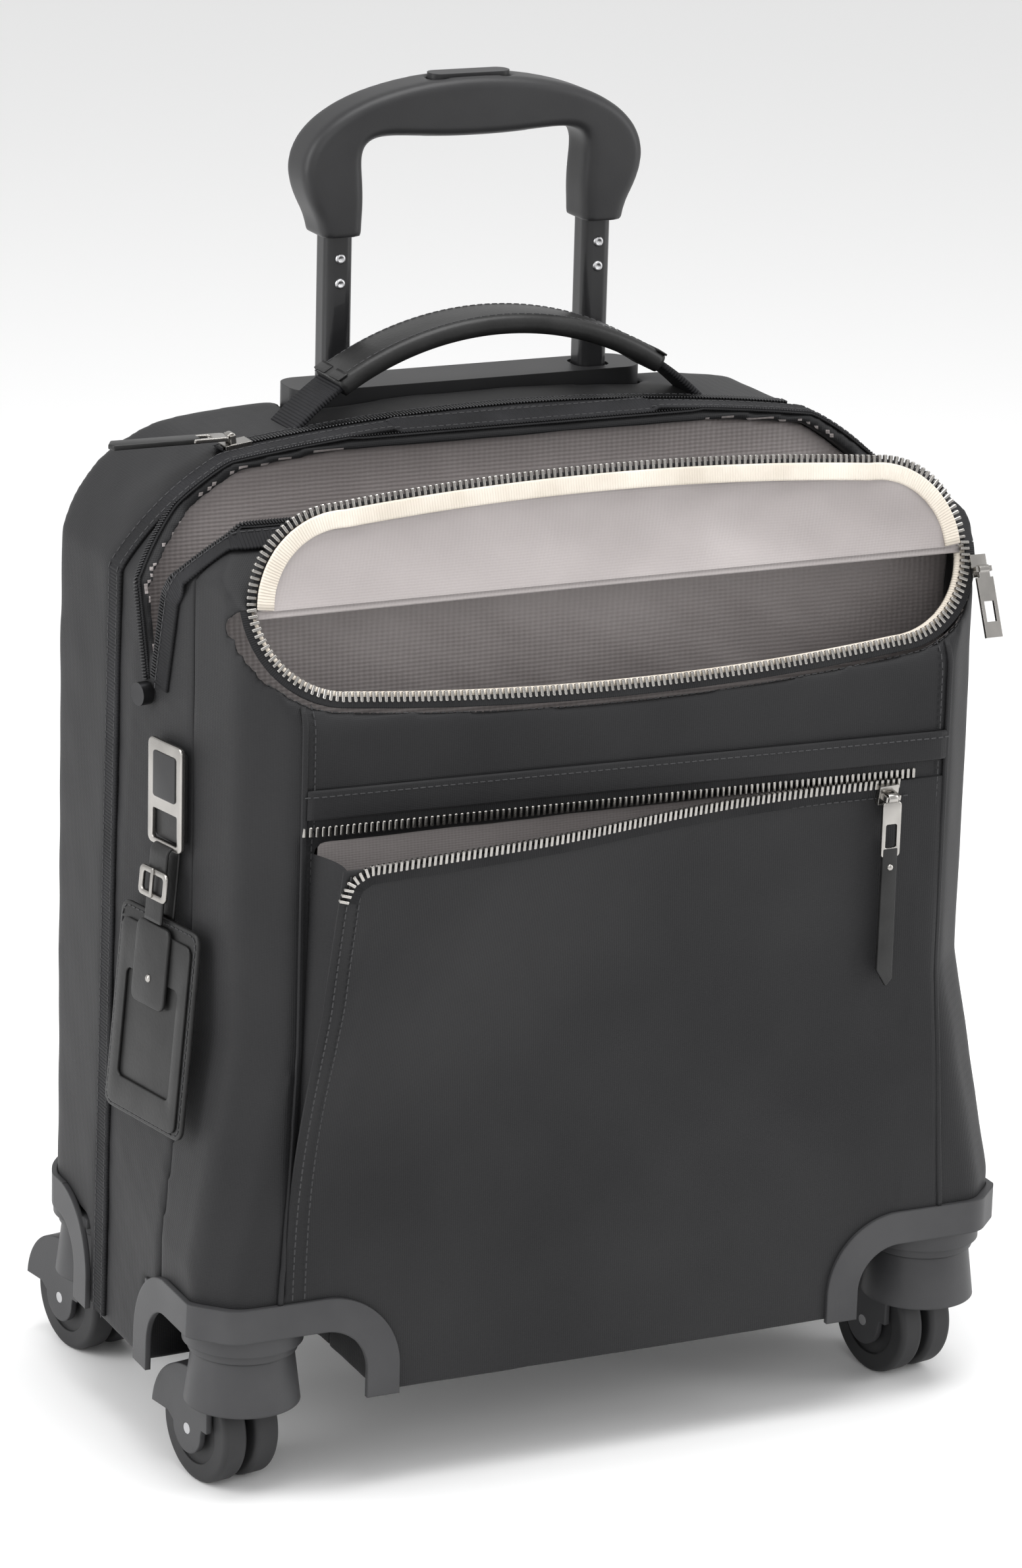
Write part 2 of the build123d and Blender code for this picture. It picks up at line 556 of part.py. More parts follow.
def pocket_prism(grow, hinge_gap):
    face = Plane(origin=(0, FRONT_Y, 0), x_dir=(1, 0, 0), z_dir=(0, -1, 0)) * pocket_face(grow, hinge_gap)
    return extrude(face, -SKIN, dir=(0, -1, 0))


def front_skins():
    """The loose corner of the lower pocket, standing open, and the zip halves round it."""
    flap = pocket_prism(-CHAIN - ZIP_GAP, HINGE_GAP)
    whole = pocket_prism(-ZIP_GAP, HINGE_GAP)
    left_strip = block(-BIG, ZIP_LEFT + CHAIN + ZIP_GAP + 4, -BIG, 0, 0, ZIP_Z - 12)
    chain = (whole - flap) - left_strip
    chain = chain.solids().sort_by(SortBy.VOLUME)[-1]
    flap = whole - chain
    fixed = zip_strip()
    return {"lower_flap": open_pocket(flap), "lower_flap_zip": open_pocket(chain), "lower_pocket_zip": fixed}


def zip_strip():
    """The fixed half of the lower zip, along the upper edge of the opening."""
    edge = Polyline((ZIP_LEFT, zip_z(ZIP_LEFT) + CLEAR), (ZIP_RIGHT, zip_z(ZIP_RIGHT) + CLEAR),
                    (ZIP_RIGHT, zip_z(ZIP_RIGHT) + CLEAR + CHAIN),
                    (ZIP_LEFT, zip_z(ZIP_LEFT) + CLEAR + CHAIN), close=True)
    face = Plane(origin=(0, FRONT_Y, 0), x_dir=(1, 0, 0), z_dir=(0, -1, 0)) * make_face(edge)
    return extrude(face, CHAIN_THICK - SKIN_GAP, dir=(0, -1, 0))


def pocket_axis():
    """The crease that the loose corner folds about."""
    run = Vector(ZIP_RIGHT - TACK_X, 0, zip_z(ZIP_RIGHT) - TACK_Z)
    return Axis((TACK_X, FRONT_Y + SKIN / 2, TACK_Z), run.normalized())


def open_pocket(shape):
    return shape.rotate(pocket_axis(), POCKET_OPEN)


def pull_pin():
    """Cross pin between two ears that stand on a slider; local -Z points away from the slider."""
    ears = block(2.8, 3.8, -1.2, 1.2, 0, PULL_STAND + 1.2)
    return mirrored_x(ears) + Pos(0, 0, PULL_STAND) * cross_bar(PULL_PIN, 5.8)


def pull_plate(width, length, thick):
    """Metal pull hanging along -Y from a knuckle round the pin, with a window near its end."""
    plate = Pos(0, -length / 2) * Rectangle(width, length)
    plate -= Pos(0, -length * 0.62) * Rectangle(width - 3.2, length * 0.3)
    plate = extrude(plate, thick / 2, both=True)
    plate -= block(-BIG, -KNUCKLE_HALF - 0.2, -KNUCKLE * 1.9, BIG, -10, 10)
    plate -= block(KNUCKLE_HALF + 0.2, BIG, -KNUCKLE * 1.9, BIG, -10, 10)
    knuckle = cross_bar(KNUCKLE, 2 * KNUCKLE_HALF)
    return plate + knuckle - cross_bar(PULL_PIN + RUNNING_FIT, 20)


def lower_slider():
    """Slider on the loose half of the lower zip, with its pull hanging from it."""
    x = ZIP_RIGHT - SLIDER_BACK
    top = zip_z(x) - ZIP_GAP
    front = FRONT_Y - SLIDER_LIFT - 2.4
    body = block(x - 5, x + 5, front, FRONT_Y - SLIDER_LIFT, top - 8.5, top)
    stand = Plane(origin=(x, front, top - 4.5), x_dir=(1, 0, 0), z_dir=(0, -1, 0)).location
    body = open_pocket(body + stand * pull_pin())
    pull = pull_plate(9, 26, 1.6) + block(-3.6, 3.6, -PULL_LENGTH, -26, -1.1, 1.1)
    hang = stand * Pos(0, 0, PULL_STAND) * Rot(-PULL_LEAN, 0, 0)
    return {"lower_slider": body, "lower_pull": open_pocket(hang * pull)}


def pocket_point(x, y, z):
    """Where a point of the closed pocket lies with the pocket standing open."""
    moved = open_pocket(Pos(x, y, z) * Sphere(1))
    return tuple(moved.center())


def upper_lid():
    """The upper flap, thrown open, with its zip half round the free edge."""
    plate = lid_prism(-CHAIN, 0, -CHAIN_THICK)
    edge = lid_prism(0, 0, -CHAIN_THICK) - plate
    cut = extrude(upper_lid_plane() * Pos(0, -HINGE_GAP / 2, -10) * Rectangle(BIG, HINGE_GAP), 20,
                  dir=upper_lid_plane().z_dir)
    plate = (plate - cut).rotate(lid_axis(), -FLAP_OPEN)
    edge = (edge - cut).rotate(lid_axis(), -FLAP_OPEN)
    lower = lid_prism(CHAIN + ZIP_GAP, 0, -CHAIN_THICK) - lid_prism(ZIP_GAP, 1, -CHAIN_THICK - 1)
    return {"upper_flap": plate, "upper_flap_zip": edge, "upper_pocket_zip": lower}


def lid_axis():
    """The hinge line, in the middle of the flap's thickness."""
    inward = upper_lid_plane().z_dir * (-CHAIN_THICK / 2)
    return Axis(Vector(0, FLAP_HINGE_Y, FLAP_HINGE_Z) + inward, (1, 0, 0))


def upper_slider():
    """Slider parked at the right end of the upper zip, and its pull lying down the slope."""
    half = UPPER_SLIDER[0] / 2
    foot = upper_lid_plane().location * Pos(FLAP_HALF + ZIP_GAP + half, -UPPER_SLIDER_DOWN, 0.4)
    body = block(-half, half, -UPPER_SLIDER[1] / 2, UPPER_SLIDER[1] / 2, 0, UPPER_SLIDER[2])
    pin = foot * Pos(0, -2, UPPER_SLIDER[2])
    return {"upper_slider": foot * body + pin * pull_pin(),
            "upper_pull": pin * Pos(0, 0, PULL_STAND) * pull_plate(8, 30, 1.6)}


def main_zip():
    strip = ring(MAIN_ZIP_Y - 4, MAIN_ZIP_Y + 4, 400) & block(-MAIN_ZIP_HALF, MAIN_ZIP_HALF, 0, BIG, 0, BIG)
    return strip


def crown_z(x):
    """Height of the bowed top at a distance from the middle."""
    return BODY_TOP - crown_radius() + (crown_radius() ** 2 - x ** 2) ** 0.5


def crown_radius():
    half = FABRIC_HALF - TOP_NARROWING - SHOULDER_WIDTH
    return (half ** 2 + CROWN_RISE ** 2) / (2 * CROWN_RISE)


def main_slider():
    """Slider parked at the left end of the main zip, with a ring and a long leather tab."""
    lean = degrees(asin(MAIN_SLIDER_X / crown_radius()))
    foot = Pos(-MAIN_SLIDER_X, MAIN_ZIP_Y, crown_z(MAIN_SLIDER_X)) * Rot(0, -lean, 0) * Pos(0, 0, 0.4)
    turn = Rot(0, 0, -90)
    body = block(-6, 6, -4.5, 4.5, 0, 2.4)
    pull = pull_plate(9, 18, 1.8) + block(-4.5, 4.5, -MAIN_PULL, -18, -1.5, 1.5)
    droop = Rot(-(MAIN_DROOP - lean), 0, 0)
    return {"main_slider": foot * (body + Pos(-2, 0, 2.4) * turn * pull_pin()),
            "main_pull": foot * Pos(-2, 0, 2.4 + PULL_STAND) * turn * droop * pull}


def side_surface(y):
    """Half-width of the body above the flare, on its tapering side."""
    front = FRONT_Y + FRONT_CORNER + FRONT_NARROWING * 0.25
    return FABRIC_HALF - FRONT_NARROWING * (SEAM_Y - y) / (SEAM_Y - front)


def tag_plane():
    """On the left side where the name tag hangs; local +Y up and local +Z outwards."""
    front = FRONT_Y + FRONT_CORNER + FRONT_NARROWING * 0.25
    along = Vector(FRONT_NARROWING, front - SEAM_Y, 0).normalized()
    outward = along.cross(Vector(0, 0, 1))
    return Plane(origin=(-side_surface(TAG_Y), TAG_Y, TAG_Z), x_dir=along, z_dir=outward)


def name_tag():
    """Metal plate on the side, and a leather tag on a strap looped through its lower bar."""
    plane = tag_plane().location
    low, high = TAG_BAR_Z - TAG_BAR[1] / 2, TAG_BAR_Z + TAG_BAR[1] / 2
    bar_top = -21 + TAG_BAR[0] / 2
    plate = block(-13, 13, -21 - TAG_BAR[0] / 2, 23, low, high) - block(-9.5, 9.5, bar_top, -6, 0, 20)
    plate += block(-10, 10, -4, 20, 0, low)
    hole, leather = 2.2, 1.5
    outline = Pos(TAG_BAR_Z, -21) * Circle(hole + leather)
    outline += Pos(TAG_BAR_Z, -21 - STRAP_DROP / 2) * Rectangle(2 * (hole + leather), STRAP_DROP)
    inner = Pos(TAG_BAR_Z, -21) * Circle(hole)
    inner += Pos(TAG_BAR_Z, -21 - STRAP_DROP / 2 + leather / 2) * Rectangle(2 * hole, STRAP_DROP - leather)
    strap = extrude(Plane(origin=(-7, 0, 0), x_dir=(0, 0, -1), z_dir=(1, 0, 0)) *
                    mirror(outline - inner, Plane.YZ), 14, dir=(1, 0, 0))
    front = TAG_BAR_Z + hole + leather
    buckle = block(-11, 11, -44, -31, front, front + 1.6) - block(-7.5, 7.5, -42, -33, front - 1, front + 3)
    top = -21 - STRAP_DROP
    tag = block(-30, 30, top - TAG_LENGTH, top, TAG_BAR_Z - 2.5, TAG_BAR_Z + 2.5)
    lean = plane * Pos(0, -21, TAG_BAR_Z) * Rot(-TAG_LEAN, 0, 0) * Pos(0, 21, -TAG_BAR_Z)
    return {"tag_plate": plane * plate, "tag_strap": lean * strap, "tag_buckle": lean * buckle,
            "name_tag": lean * tag}


def mouth(inset):
    """The laptop compartment's open mouth: a slit up each side that spreads over the top."""
    centre = (MOUTH_FRONT + MOUTH_REAR) / 2
    half = MOUTH_REAR - centre - inset
    narrow_z, narrow = MOUTH_NARROW
    right = [(centre + narrow - inset, narrow_z), (centre + half, MOUTH_FULL), (centre + half, BIG)]
    left = [(2 * centre - y, z) for y, z in reversed(right)]
    outline = Polyline((centre, MOUTH_LOW + 4 * inset), *right, *left, close=True)
    return extrude(Plane.YZ * make_face(outline), BIG, both=True)


def body_pieces():
    rear = slab(FABRIC_WALL, SEAM_Y, BIG)
    rear -= main_zip()
    rear -= Pos(0, TUBE_Y, BEZEL_LOW) * extrude(RectangleRounded(2 * TUBE_X + 44, 28, 10), 40)
    gusset = slab(FABRIC_WALL, LAPTOP_FRONT, SEAM_Y)
    gusset -= mouth(0.0)
    rim = FABRIC_WALL & (mouth(0.0) - mouth(COIL))
    divider = slab(FABRIC_HOLLOW, LAPTOP_REAR, SEAM_Y)
    board = slab(FABRIC_HOLLOW, SEAM_Y, BIG) & block(-BIG, BIG, 0, BIG, 0, BODY_BOTTOM + WALL + BASE_BOARD)
    band = (envelope(-BAND_PROUD) - OUTSIDE) & block(-BIG, BIG, MOUTH_REAR, MOUTH_REAR + BAND_WIDTH,
                                                     BODY_BOTTOM, BIG)
    return {"rear_shell": rear, "laptop_gusset": gusset, "laptop_zip": rim,
            "divider_panel": divider, "base_board": board, "side_band": band}


def frame_hoop():
    """Spring-steel hoop that holds the main compartment's mouth in shape."""
    foot = WELL_TOP + WALL
    path = FilletPolyline((-HOOP_HALF, HOOP_Y, foot), (-HOOP_HALF, HOOP_Y, HOOP_TOP),
                          (HOOP_HALF, HOOP_Y, HOOP_TOP), (HOOP_HALF, HOOP_Y, foot), radius=60)
    return sweep(Plane(origin=path @ 0, z_dir=path % 0) * Circle(HOOP_RADIUS), path)


def laptop_slider():
    """Round knob of the laptop zip at its lower left end."""
    y = (MOUTH_FRONT + MOUTH_REAR) / 2
    wall = side_surface(y) + SKIN_GAP
    return Pos(-wall - 3.5, y, MOUTH_LOW - 5) * Rot(0, 0, 11) * cross_bar(5, 5)


def build():
    nodes = body_pieces()
    nodes["front_shell"] = front_shell()
    nodes["organiser_wall"] = organiser_wall()
    nodes["main_zip"] = main_zip()
    nodes["frame_hoop"] = frame_hoop()
    nodes["handle_bezel"] = bezel()
    nodes.update(handle_tubes())
    nodes.update(grip())
    nodes.update(release_linkage())
    nodes.update(carry_handle())
    nodes.update(upper_lid())
    nodes.update(upper_slider())
    nodes.update(front_skins())
    nodes.update(lower_slider())
    nodes.update(main_slider())
    nodes["laptop_slider"] = laptop_slider()
    nodes.update(name_tag())
    nodes["kingpins"] = kingpins()
    for name, sx, sy in CORNERS:
        nodes["corner_guard_" + name] = corner_guard(sx, sy)
        for piece, shape in caster(sx, sy).items():
            nodes[piece + "_" + name] = shape
    return nodes


CORNERS = [("front_left", -1, -1), ("front_right", 1, -1), ("rear_left", -1, 1), ("rear_right", 1, 1)]

if __name__ == "__main__":
    os.makedirs("parts", exist_ok=True)
    made = build()
    for name, shape in made.items():
        export_step(shape, f"parts/{name}.step")
        if shape.volume < 1 or not shape.is_valid:
            print("look at", name, shape.volume, shape.is_valid)
    print(len(made), "nodes")
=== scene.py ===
"""Looks of a four-wheeled rolling laptop case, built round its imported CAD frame. Sizes are in millimetres."""

import json
import math

import bmesh
import bpy
import numpy as np
from mathutils import Matrix, Vector
from mathutils.bvhtree import BVHTree


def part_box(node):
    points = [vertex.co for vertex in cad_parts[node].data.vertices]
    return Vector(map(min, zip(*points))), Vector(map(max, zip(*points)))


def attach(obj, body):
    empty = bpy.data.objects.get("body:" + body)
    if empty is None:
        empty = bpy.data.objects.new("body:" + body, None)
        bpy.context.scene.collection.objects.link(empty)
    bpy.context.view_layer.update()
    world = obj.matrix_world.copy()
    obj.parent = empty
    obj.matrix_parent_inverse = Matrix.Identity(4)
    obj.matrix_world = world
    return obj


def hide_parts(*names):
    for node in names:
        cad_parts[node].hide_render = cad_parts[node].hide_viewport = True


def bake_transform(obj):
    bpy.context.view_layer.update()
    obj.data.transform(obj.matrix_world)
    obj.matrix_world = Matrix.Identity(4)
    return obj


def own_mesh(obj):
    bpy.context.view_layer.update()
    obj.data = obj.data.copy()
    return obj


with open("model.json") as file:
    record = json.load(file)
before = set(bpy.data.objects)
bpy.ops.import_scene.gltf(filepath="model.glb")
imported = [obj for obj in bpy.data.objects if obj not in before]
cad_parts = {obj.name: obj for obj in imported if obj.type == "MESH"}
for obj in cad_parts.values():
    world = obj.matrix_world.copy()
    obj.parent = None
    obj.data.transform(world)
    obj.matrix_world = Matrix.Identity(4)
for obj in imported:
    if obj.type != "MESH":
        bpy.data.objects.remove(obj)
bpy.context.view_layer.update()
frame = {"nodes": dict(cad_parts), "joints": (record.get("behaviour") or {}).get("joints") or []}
NODES = frame["nodes"]
JOINTS = {joint["name"]: joint for joint in frame["joints"]}
MM = 0.001

# ---- places shared with the CAD model ----
CORNERS = ("front_left", "front_right", "rear_left", "rear_right")
FRONT_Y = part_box("front_shell")[0].y / MM
BODY_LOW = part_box("front_shell")[0].z / MM
HINGE = Vector((0, -82, 390))
LIP_Z = 343
FLAP_HALF = 166
LID_DEPTH = 46
FLAP_OPEN = 168
ZIP_LEFT, ZIP_RIGHT = -150, 134
ZIP_Z, ZIP_FALL = 298, 4
TACK = Vector((-156, FRONT_Y + 1.5, 96))
POCKET_OPEN = 12.5
SEAM_BEND = 205
SEAM_LOW = 96
WELL_X, WELL_TOP = 116, 82
MOUTH_LOW = 345
MOUTH_FRONT, MOUTH_REAR = -46, 8
MOUTH_NARROW = (385, 8)
MOUTH_FULL = 412
CHAIN_PITCH = 2.7
STITCH_PITCH = 3.4
REAR_BAND_Y = 15.5
MAIN_ZIP_Y, MAIN_ZIP_HALF = 29, 136
TAG_LEAN = 5.5
TAG_SIZE, TAG_TOP = (60, 91), 31
HANDLE_FOOT, HANDLE_CROWN, SLEEVE_HALF = 430.0, 471.0, 76


# ---- materials ----
def material(name, **sockets):
    made = bpy.data.materials.new(name)
    made.use_nodes = True
    surface = made.node_tree.nodes["Principled BSDF"]
    for label, value in sockets.items():
        surface.inputs[label.replace("_", " ")].default_value = value
    return made


def node(made, kind, **settings):
    new = made.node_tree.nodes.new("ShaderNode" + kind)
    for label, value in settings.items():
        if label in new.inputs:
            new.inputs[label].default_value = value
        else:
            setattr(new, label, value)
    return new


def link(made, source, target):
    made.node_tree.links.new(source, target)


def coordinates(made, flow):
    """Object coordinates, or for a swept piece its length and width in metres."""
    found = node(made, "TexCoord")
    return found.outputs["UV" if flow else "Object"]


def mottle(made, low, high, scale, socket="Base Color", flow=False):
    """A slow change between two values all over a surface."""
    noise = node(made, "TexNoise", Scale=scale, Detail=4.0)
    link(made, coordinates(made, flow), noise.inputs["Vector"])
    ramp = node(made, "ValToRGB")
    ramp.color_ramp.elements[0].position = 0.36
    ramp.color_ramp.elements[1].position = 0.64
    for element, value in zip(ramp.color_ramp.elements, (low, high)):
        element.color = value if len(value) == 4 else (*value, 1)
    link(made, noise.outputs["Fac"], ramp.inputs["Fac"])
    link(made, ramp.outputs["Color"], made.node_tree.nodes["Principled BSDF"].inputs[socket])


def grain(made, layers, bevel=0.0):
    """Stacks bumps, each (source socket, height in mm, strength), under an optional rounded edge."""
    before = None
    if bevel:
        rounded = node(made, "Bevel", samples=4, Radius=bevel * MM)
        before = rounded.outputs["Normal"]
    for source, height, strength in layers:
        bump = node(made, "Bump", Strength=strength, Distance=height * MM)
        link(made, source, bump.inputs["Height"])
        if before:
            link(made, before, bump.inputs["Normal"])
        before = bump.outputs["Normal"]
    link(made, before, made.node_tree.nodes["Principled BSDF"].inputs["Normal"])


def threads(made, pitch, turn, flow=False):
    """Straight threads a pitch in mm apart, turned round the vertical and tilted."""
    place = node(made, "Mapping")
    place.inputs["Rotation"].default_value = turn
    link(made, coordinates(made, flow), place.inputs["Vector"])
    wave = node(made, "TexWave", Scale=2 * math.pi / 20 / (pitch * MM), Distortion=0.6)
    wave.inputs["Detail"].default_value = 1.0
    link(made, place.outputs["Vector"], wave.inputs["Vector"])
    return wave.outputs["Fac"]


def speckle(made, size, flow=False):
    noise = node(made, "TexNoise", Scale=1 / (size * MM), Detail=3.0)
    link(made, coordinates(made, flow), noise.inputs["Vector"])
    return noise.outputs["Fac"]


def pebbles(made, size):
    cells = node(made, "TexVoronoi", Scale=1 / (size * MM), feature="SMOOTH_F1")
    link(made, coordinates(made, False), cells.inputs["Vector"])
    return cells.outputs["Distance"]


QUARTER, EIGHTH = math.pi / 2, math.pi / 4


def woven(name, low, high, pitch, depth, **sockets):
    """Cloth whose two sets of threads follow the object."""
    made = material(name, **sockets)
    mottle(made, low, high, 9.0)
    warp = threads(made, pitch, (0, 0, EIGHTH))
    weft = threads(made, pitch, (0, QUARTER, 0))
    grain(made, [(warp, depth, 0.4), (weft, depth, 0.4), (speckle(made, 1.4), 0.3, 0.25)])
    return made


def tape_cloth(name, low, high, pitch, depth, **sockets):
    """Ribbed tape whose ribs cross a swept piece."""
    made = material(name, **sockets)
    mottle(made, low, high, 30.0, flow=True)
    grain(made, [(threads(made, pitch, (0, 0, 0), flow=True), depth, 0.9)])
    return made


def metal(name, colour, roughness, bevel=0.35):
    made = material(name, Metallic=1.0, Roughness=roughness)
    mottle(made, [c * 0.8 for c in colour], colour, 60.0)
    grain(made, [(speckle(made, 2.5), 0.05, 0.3)], bevel)
    return made


def moulded(name, low, high, roughness, size, bevel=0.8, coat=0.0):
    made = material(name, Roughness=roughness, Coat_Weight=coat, Specular_IOR_Level=0.32)
    mottle(made, low, high, 25.0)
    grain(made, [(speckle(made, size), 0.12, 0.3)], bevel)
    return made


def hide(name, low, high, roughness, bevel=0.0):
    made = material(name, Roughness=roughness, Coat_Weight=0.04, Specular_IOR_Level=0.3)
    mottle(made, low, high, 60.0)
    grain(made, [(pebbles(made, 1.3), 0.14, 0.4), (speckle(made, 7.0), 0.3, 0.2)], bevel)
    return made


NYLON = woven("nylon", (0.011, 0.011, 0.012), (0.017, 0.017, 0.018), 0.7, 0.10, Roughness=0.58,
              Specular_IOR_Level=0.2, Sheen_Weight=0.03, Sheen_Roughness=0.5)
SATIN = woven("satin", (0.27, 0.245, 0.24), (0.36, 0.33, 0.325), 1.1, 0.12, Roughness=0.42,
              Sheen_Weight=0.15)
LINING = woven("lining", (0.24, 0.215, 0.21), (0.31, 0.28, 0.275), 1.8, 0.30, Roughness=0.5,
               Sheen_Weight=0.2)
IVORY = tape_cloth("ivory_binding", (0.60, 0.54, 0.46), (0.74, 0.68, 0.60), 1.2, 0.3, Roughness=0.7)
RIBBED = tape_cloth("grosgrain", (0.010, 0.010, 0.011), (0.018, 0.018, 0.020), 1.5, 0.5, Roughness=0.72,
                    Specular_IOR_Level=0.2)
TAPE = tape_cloth("zip_tape", (0.010, 0.010, 0.011), (0.016, 0.016, 0.017), 0.9, 0.2, Roughness=0.75,
                  Specular_IOR_Level=0.2)
THREAD = tape_cloth("thread", (0.020, 0.020, 0.022), (0.030, 0.030, 0.032), 0.5, 0.1, Roughness=0.6)
GUNMETAL = metal("gunmetal", (0.40, 0.385, 0.365), 0.24)
COIL = metal("coil", (0.05, 0.05, 0.052), 0.4, 0.0)
STEEL = metal("steel", (0.52, 0.52, 0.53), 0.32)
TUBE = moulded("tube_black", (0.012, 0.012, 0.013), (0.018, 0.018, 0.019), 0.3, 3.0, 0.5, 0.2)
GRIP = moulded("grip_black", (0.016, 0.016, 0.017), (0.022, 0.022, 0.023), 0.43, 0.8, 0.5)
GUARD = moulded("guard_charcoal", (0.034, 0.034, 0.036), (0.046, 0.046, 0.048), 0.46, 0.9, 1.3)
TREAD = moulded("wheel_rubber", (0.016, 0.016, 0.017), (0.026, 0.026, 0.027), 0.58, 1.2, 1.0)
LEATHER = hide("leather", (0.010, 0.010, 0.010), (0.017, 0.017, 0.017), 0.42)
FELT = woven("underside", (0.012, 0.012, 0.012), (0.020, 0.020, 0.020), 1.4, 0.3, Roughness=0.8)


# ---- small geometry ----
def finish_mesh(name, points, faces, look, flow=None, smooth=True):
    """An object from points in millimetres; flow gives each point's length and width along a sweep."""
    mesh = bpy.data.meshes.new(name)
    mesh.from_pydata((np.asarray(points, float) * MM).tolist(), [], [list(f) for f in faces])
    if flow is not None:
        layer = mesh.uv_layers.new(name="flow")
        corner = np.zeros(len(mesh.loops), np.int32)
        mesh.loops.foreach_get("vertex_index", corner)
        layer.data.foreach_set("uv", (np.asarray(flow, float) * MM)[corner].ravel())
    for one in look if isinstance(look, (list, tuple)) else [look]:
        mesh.materials.append(one)
    if smooth:
        mesh.polygons.foreach_set("use_smooth", [True] * len(mesh.polygons))
    made = bpy.data.objects.new(name, mesh)
    bpy.context.scene.collection.objects.link(made)
    return made


def settle(made, body, slot, *nodes):
    """Rides a body and stands for CAD nodes."""
    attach(made, body)
    if nodes:
        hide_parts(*nodes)
    return made


def bake(made):
    """Applies every modifier on a piece."""
    bpy.context.view_layer.update()
    shown = made.evaluated_get(bpy.context.evaluated_depsgraph_get())
    mesh = bpy.data.meshes.new_from_object(shown)
    made.modifiers.clear()
    made.data = mesh
    return made


def arc_through(start, middle, end, count):
    """Points on the circle through three points of a plane."""
    (ax, ay), (bx, by), (cx, cy) = start, middle, end
    d = 2 * (ax * (by - cy) + bx * (cy - ay) + cx * (ay - by))
    ux = ((ax * ax + ay * ay) * (by - cy) + (bx * bx + by * by) * (cy - ay)
          + (cx * cx + cy * cy) * (ay - by)) / d
    uy = ((ax * ax + ay * ay) * (cx - bx) + (bx * bx + by * by) * (ax - cx)
          + (cx * cx + cy * cy) * (bx - ax)) / d
    radius = math.hypot(ax - ux, ay - uy)
    first, mid, last = (math.atan2(y - uy, x - ux) for x, y in (start, middle, end))
    turn = (last - first) % (2 * math.pi)
    if (mid - first) % (2 * math.pi) > turn:
        turn -= 2 * math.pi
    angles = np.linspace(first, first + turn, count)
    return [(ux + radius * math.cos(a), uy + radius * math.sin(a)) for a in angles]


def resample(points, normals, pitch):
    """Even steps along a path, with the normals carried along."""
    points, normals = np.asarray(points, float), np.asarray(normals, float)
    steps = np.linalg.norm(np.diff(points, axis=0), axis=1)
    along = np.concatenate([[0], np.cumsum(steps)])
    count = max(2, int(round(along[-1] / pitch)) + 1)
    at = np.linspace(0, along[-1], count)
    mix = [np.column_stack([np.interp(at, along, v[:, i]) for i in range(3)]) for v in (points, normals)]
    return mix[0], mix[1], at


def frames(points, normals):
    """Tangent, sideways and outward directions along a path."""
    tangent = np.gradient(points, axis=0)
    tangent /= np.linalg.norm(tangent, axis=1)[:, None]
    out = normals - (normals * tangent).sum(1)[:, None] * tangent
    out /= np.linalg.norm(out, axis=1)[:, None]
    return tangent, np.cross(out, tangent), out


def strip(name, points, normals, profile, look, pitch=3.0):
    """Sweeps a closed profile of (across, outward) points along a path, with flat ends."""
    points, normals, at = resample(points, normals, pitch)
    _, side, out = frames(points, normals)
    shape = np.asarray(profile, float)
    rim = np.linalg.norm(shape - np.roll(shape, 1, axis=0), axis=1).cumsum()
    n, m = len(points), len(shape)
    grid = points[:, None] + side[:, None] * shape[None, :, :1] + out[:, None] * shape[None, :, 1:]
    flow = np.stack(np.broadcast_arrays(at[:, None], rim[None, :]), -1).reshape(-1, 2)
    faces = [(i * m + j, (i + 1) * m + j, (i + 1) * m + (j + 1) % m, i * m + (j + 1) % m)
             for i in range(n - 1) for j in range(m)]
    faces += [tuple(range(m)), tuple((n - 1) * m + j for j in reversed(range(m)))]
    return finish_mesh(name, grid.reshape(-1, 3), faces, look, flow)


def pillow(width, thick, edge=0.35, count=6):
    """Profile of a flat strap with rounded edges, standing on its inner face."""
    half, round_ = width / 2, min(thick * edge, width / 2)
    corners = ((half - round_, thick - round_, 0), (round_ - half, thick - round_, 1),
               (round_ - half, round_, 2), (half - round_, round_, 3))
    points = []
    for x, y, turn in corners:
        for step in range(count + 1):
            angle = (turn + step / count) * QUARTER
            points.append((x + round_ * math.cos(angle), y + round_ * math.sin(angle)))
    return points


def shifted(profile, across=0.0, outward=0.0):
    return [(a + across, o + outward) for a, o in profile]


def cube_template(length, width, height, bevel):
    """A bevelled block centred on the path and standing on it: points and faces."""
    bm = bmesh.new()
    bmesh.ops.create_cube(bm, size=1.0)
    for v in bm.verts:
        v.co = Vector((v.co.x * length, v.co.y * width, (v.co.z + 0.5) * height))
    bmesh.ops.bevel(bm, geom=bm.edges[:], offset=bevel, segments=1, affect="EDGES")
    bm.verts.index_update()
    points = np.array([v.co[:] for v in bm.verts])
    faces = [[v.index for v in f.verts] for f in bm.faces]
    bm.free()
    return points, faces


def beads(name, points, normals, pitch, template, look, across=0.0, outward=0.0):
    """Copies of a small block at even steps along a path, joined into one piece."""
    points, normals, at = resample(points, normals, pitch)
    tangent, side, out = frames(points, normals)
    shape, sides = template
    placed = (points[:, None] + tangent[:, None] * shape[None, :, :1]
              + side[:, None] * (shape[None, :, 1:2] + across)
              + out[:, None] * (shape[None, :, 2:] + outward))
    flow = np.stack(np.broadcast_arrays(at[:, None] + shape[None, :, 0], shape[None, :, 1]), -1)
    count = len(shape)
    faces = [[v + i * count for v in f] for i in range(len(points)) for f in sides]
    return finish_mesh(name, placed.reshape(-1, 3), faces, look, flow.reshape(-1, 2), smooth=False)


TOOTH = cube_template(1.45, 4.4, 2.1, 0.32)
STITCH = cube_template(2.5, 0.6, 0.45, 0.18)
COIL_TURN = cube_template(0.85, 3.4, 1.3, 0.3)


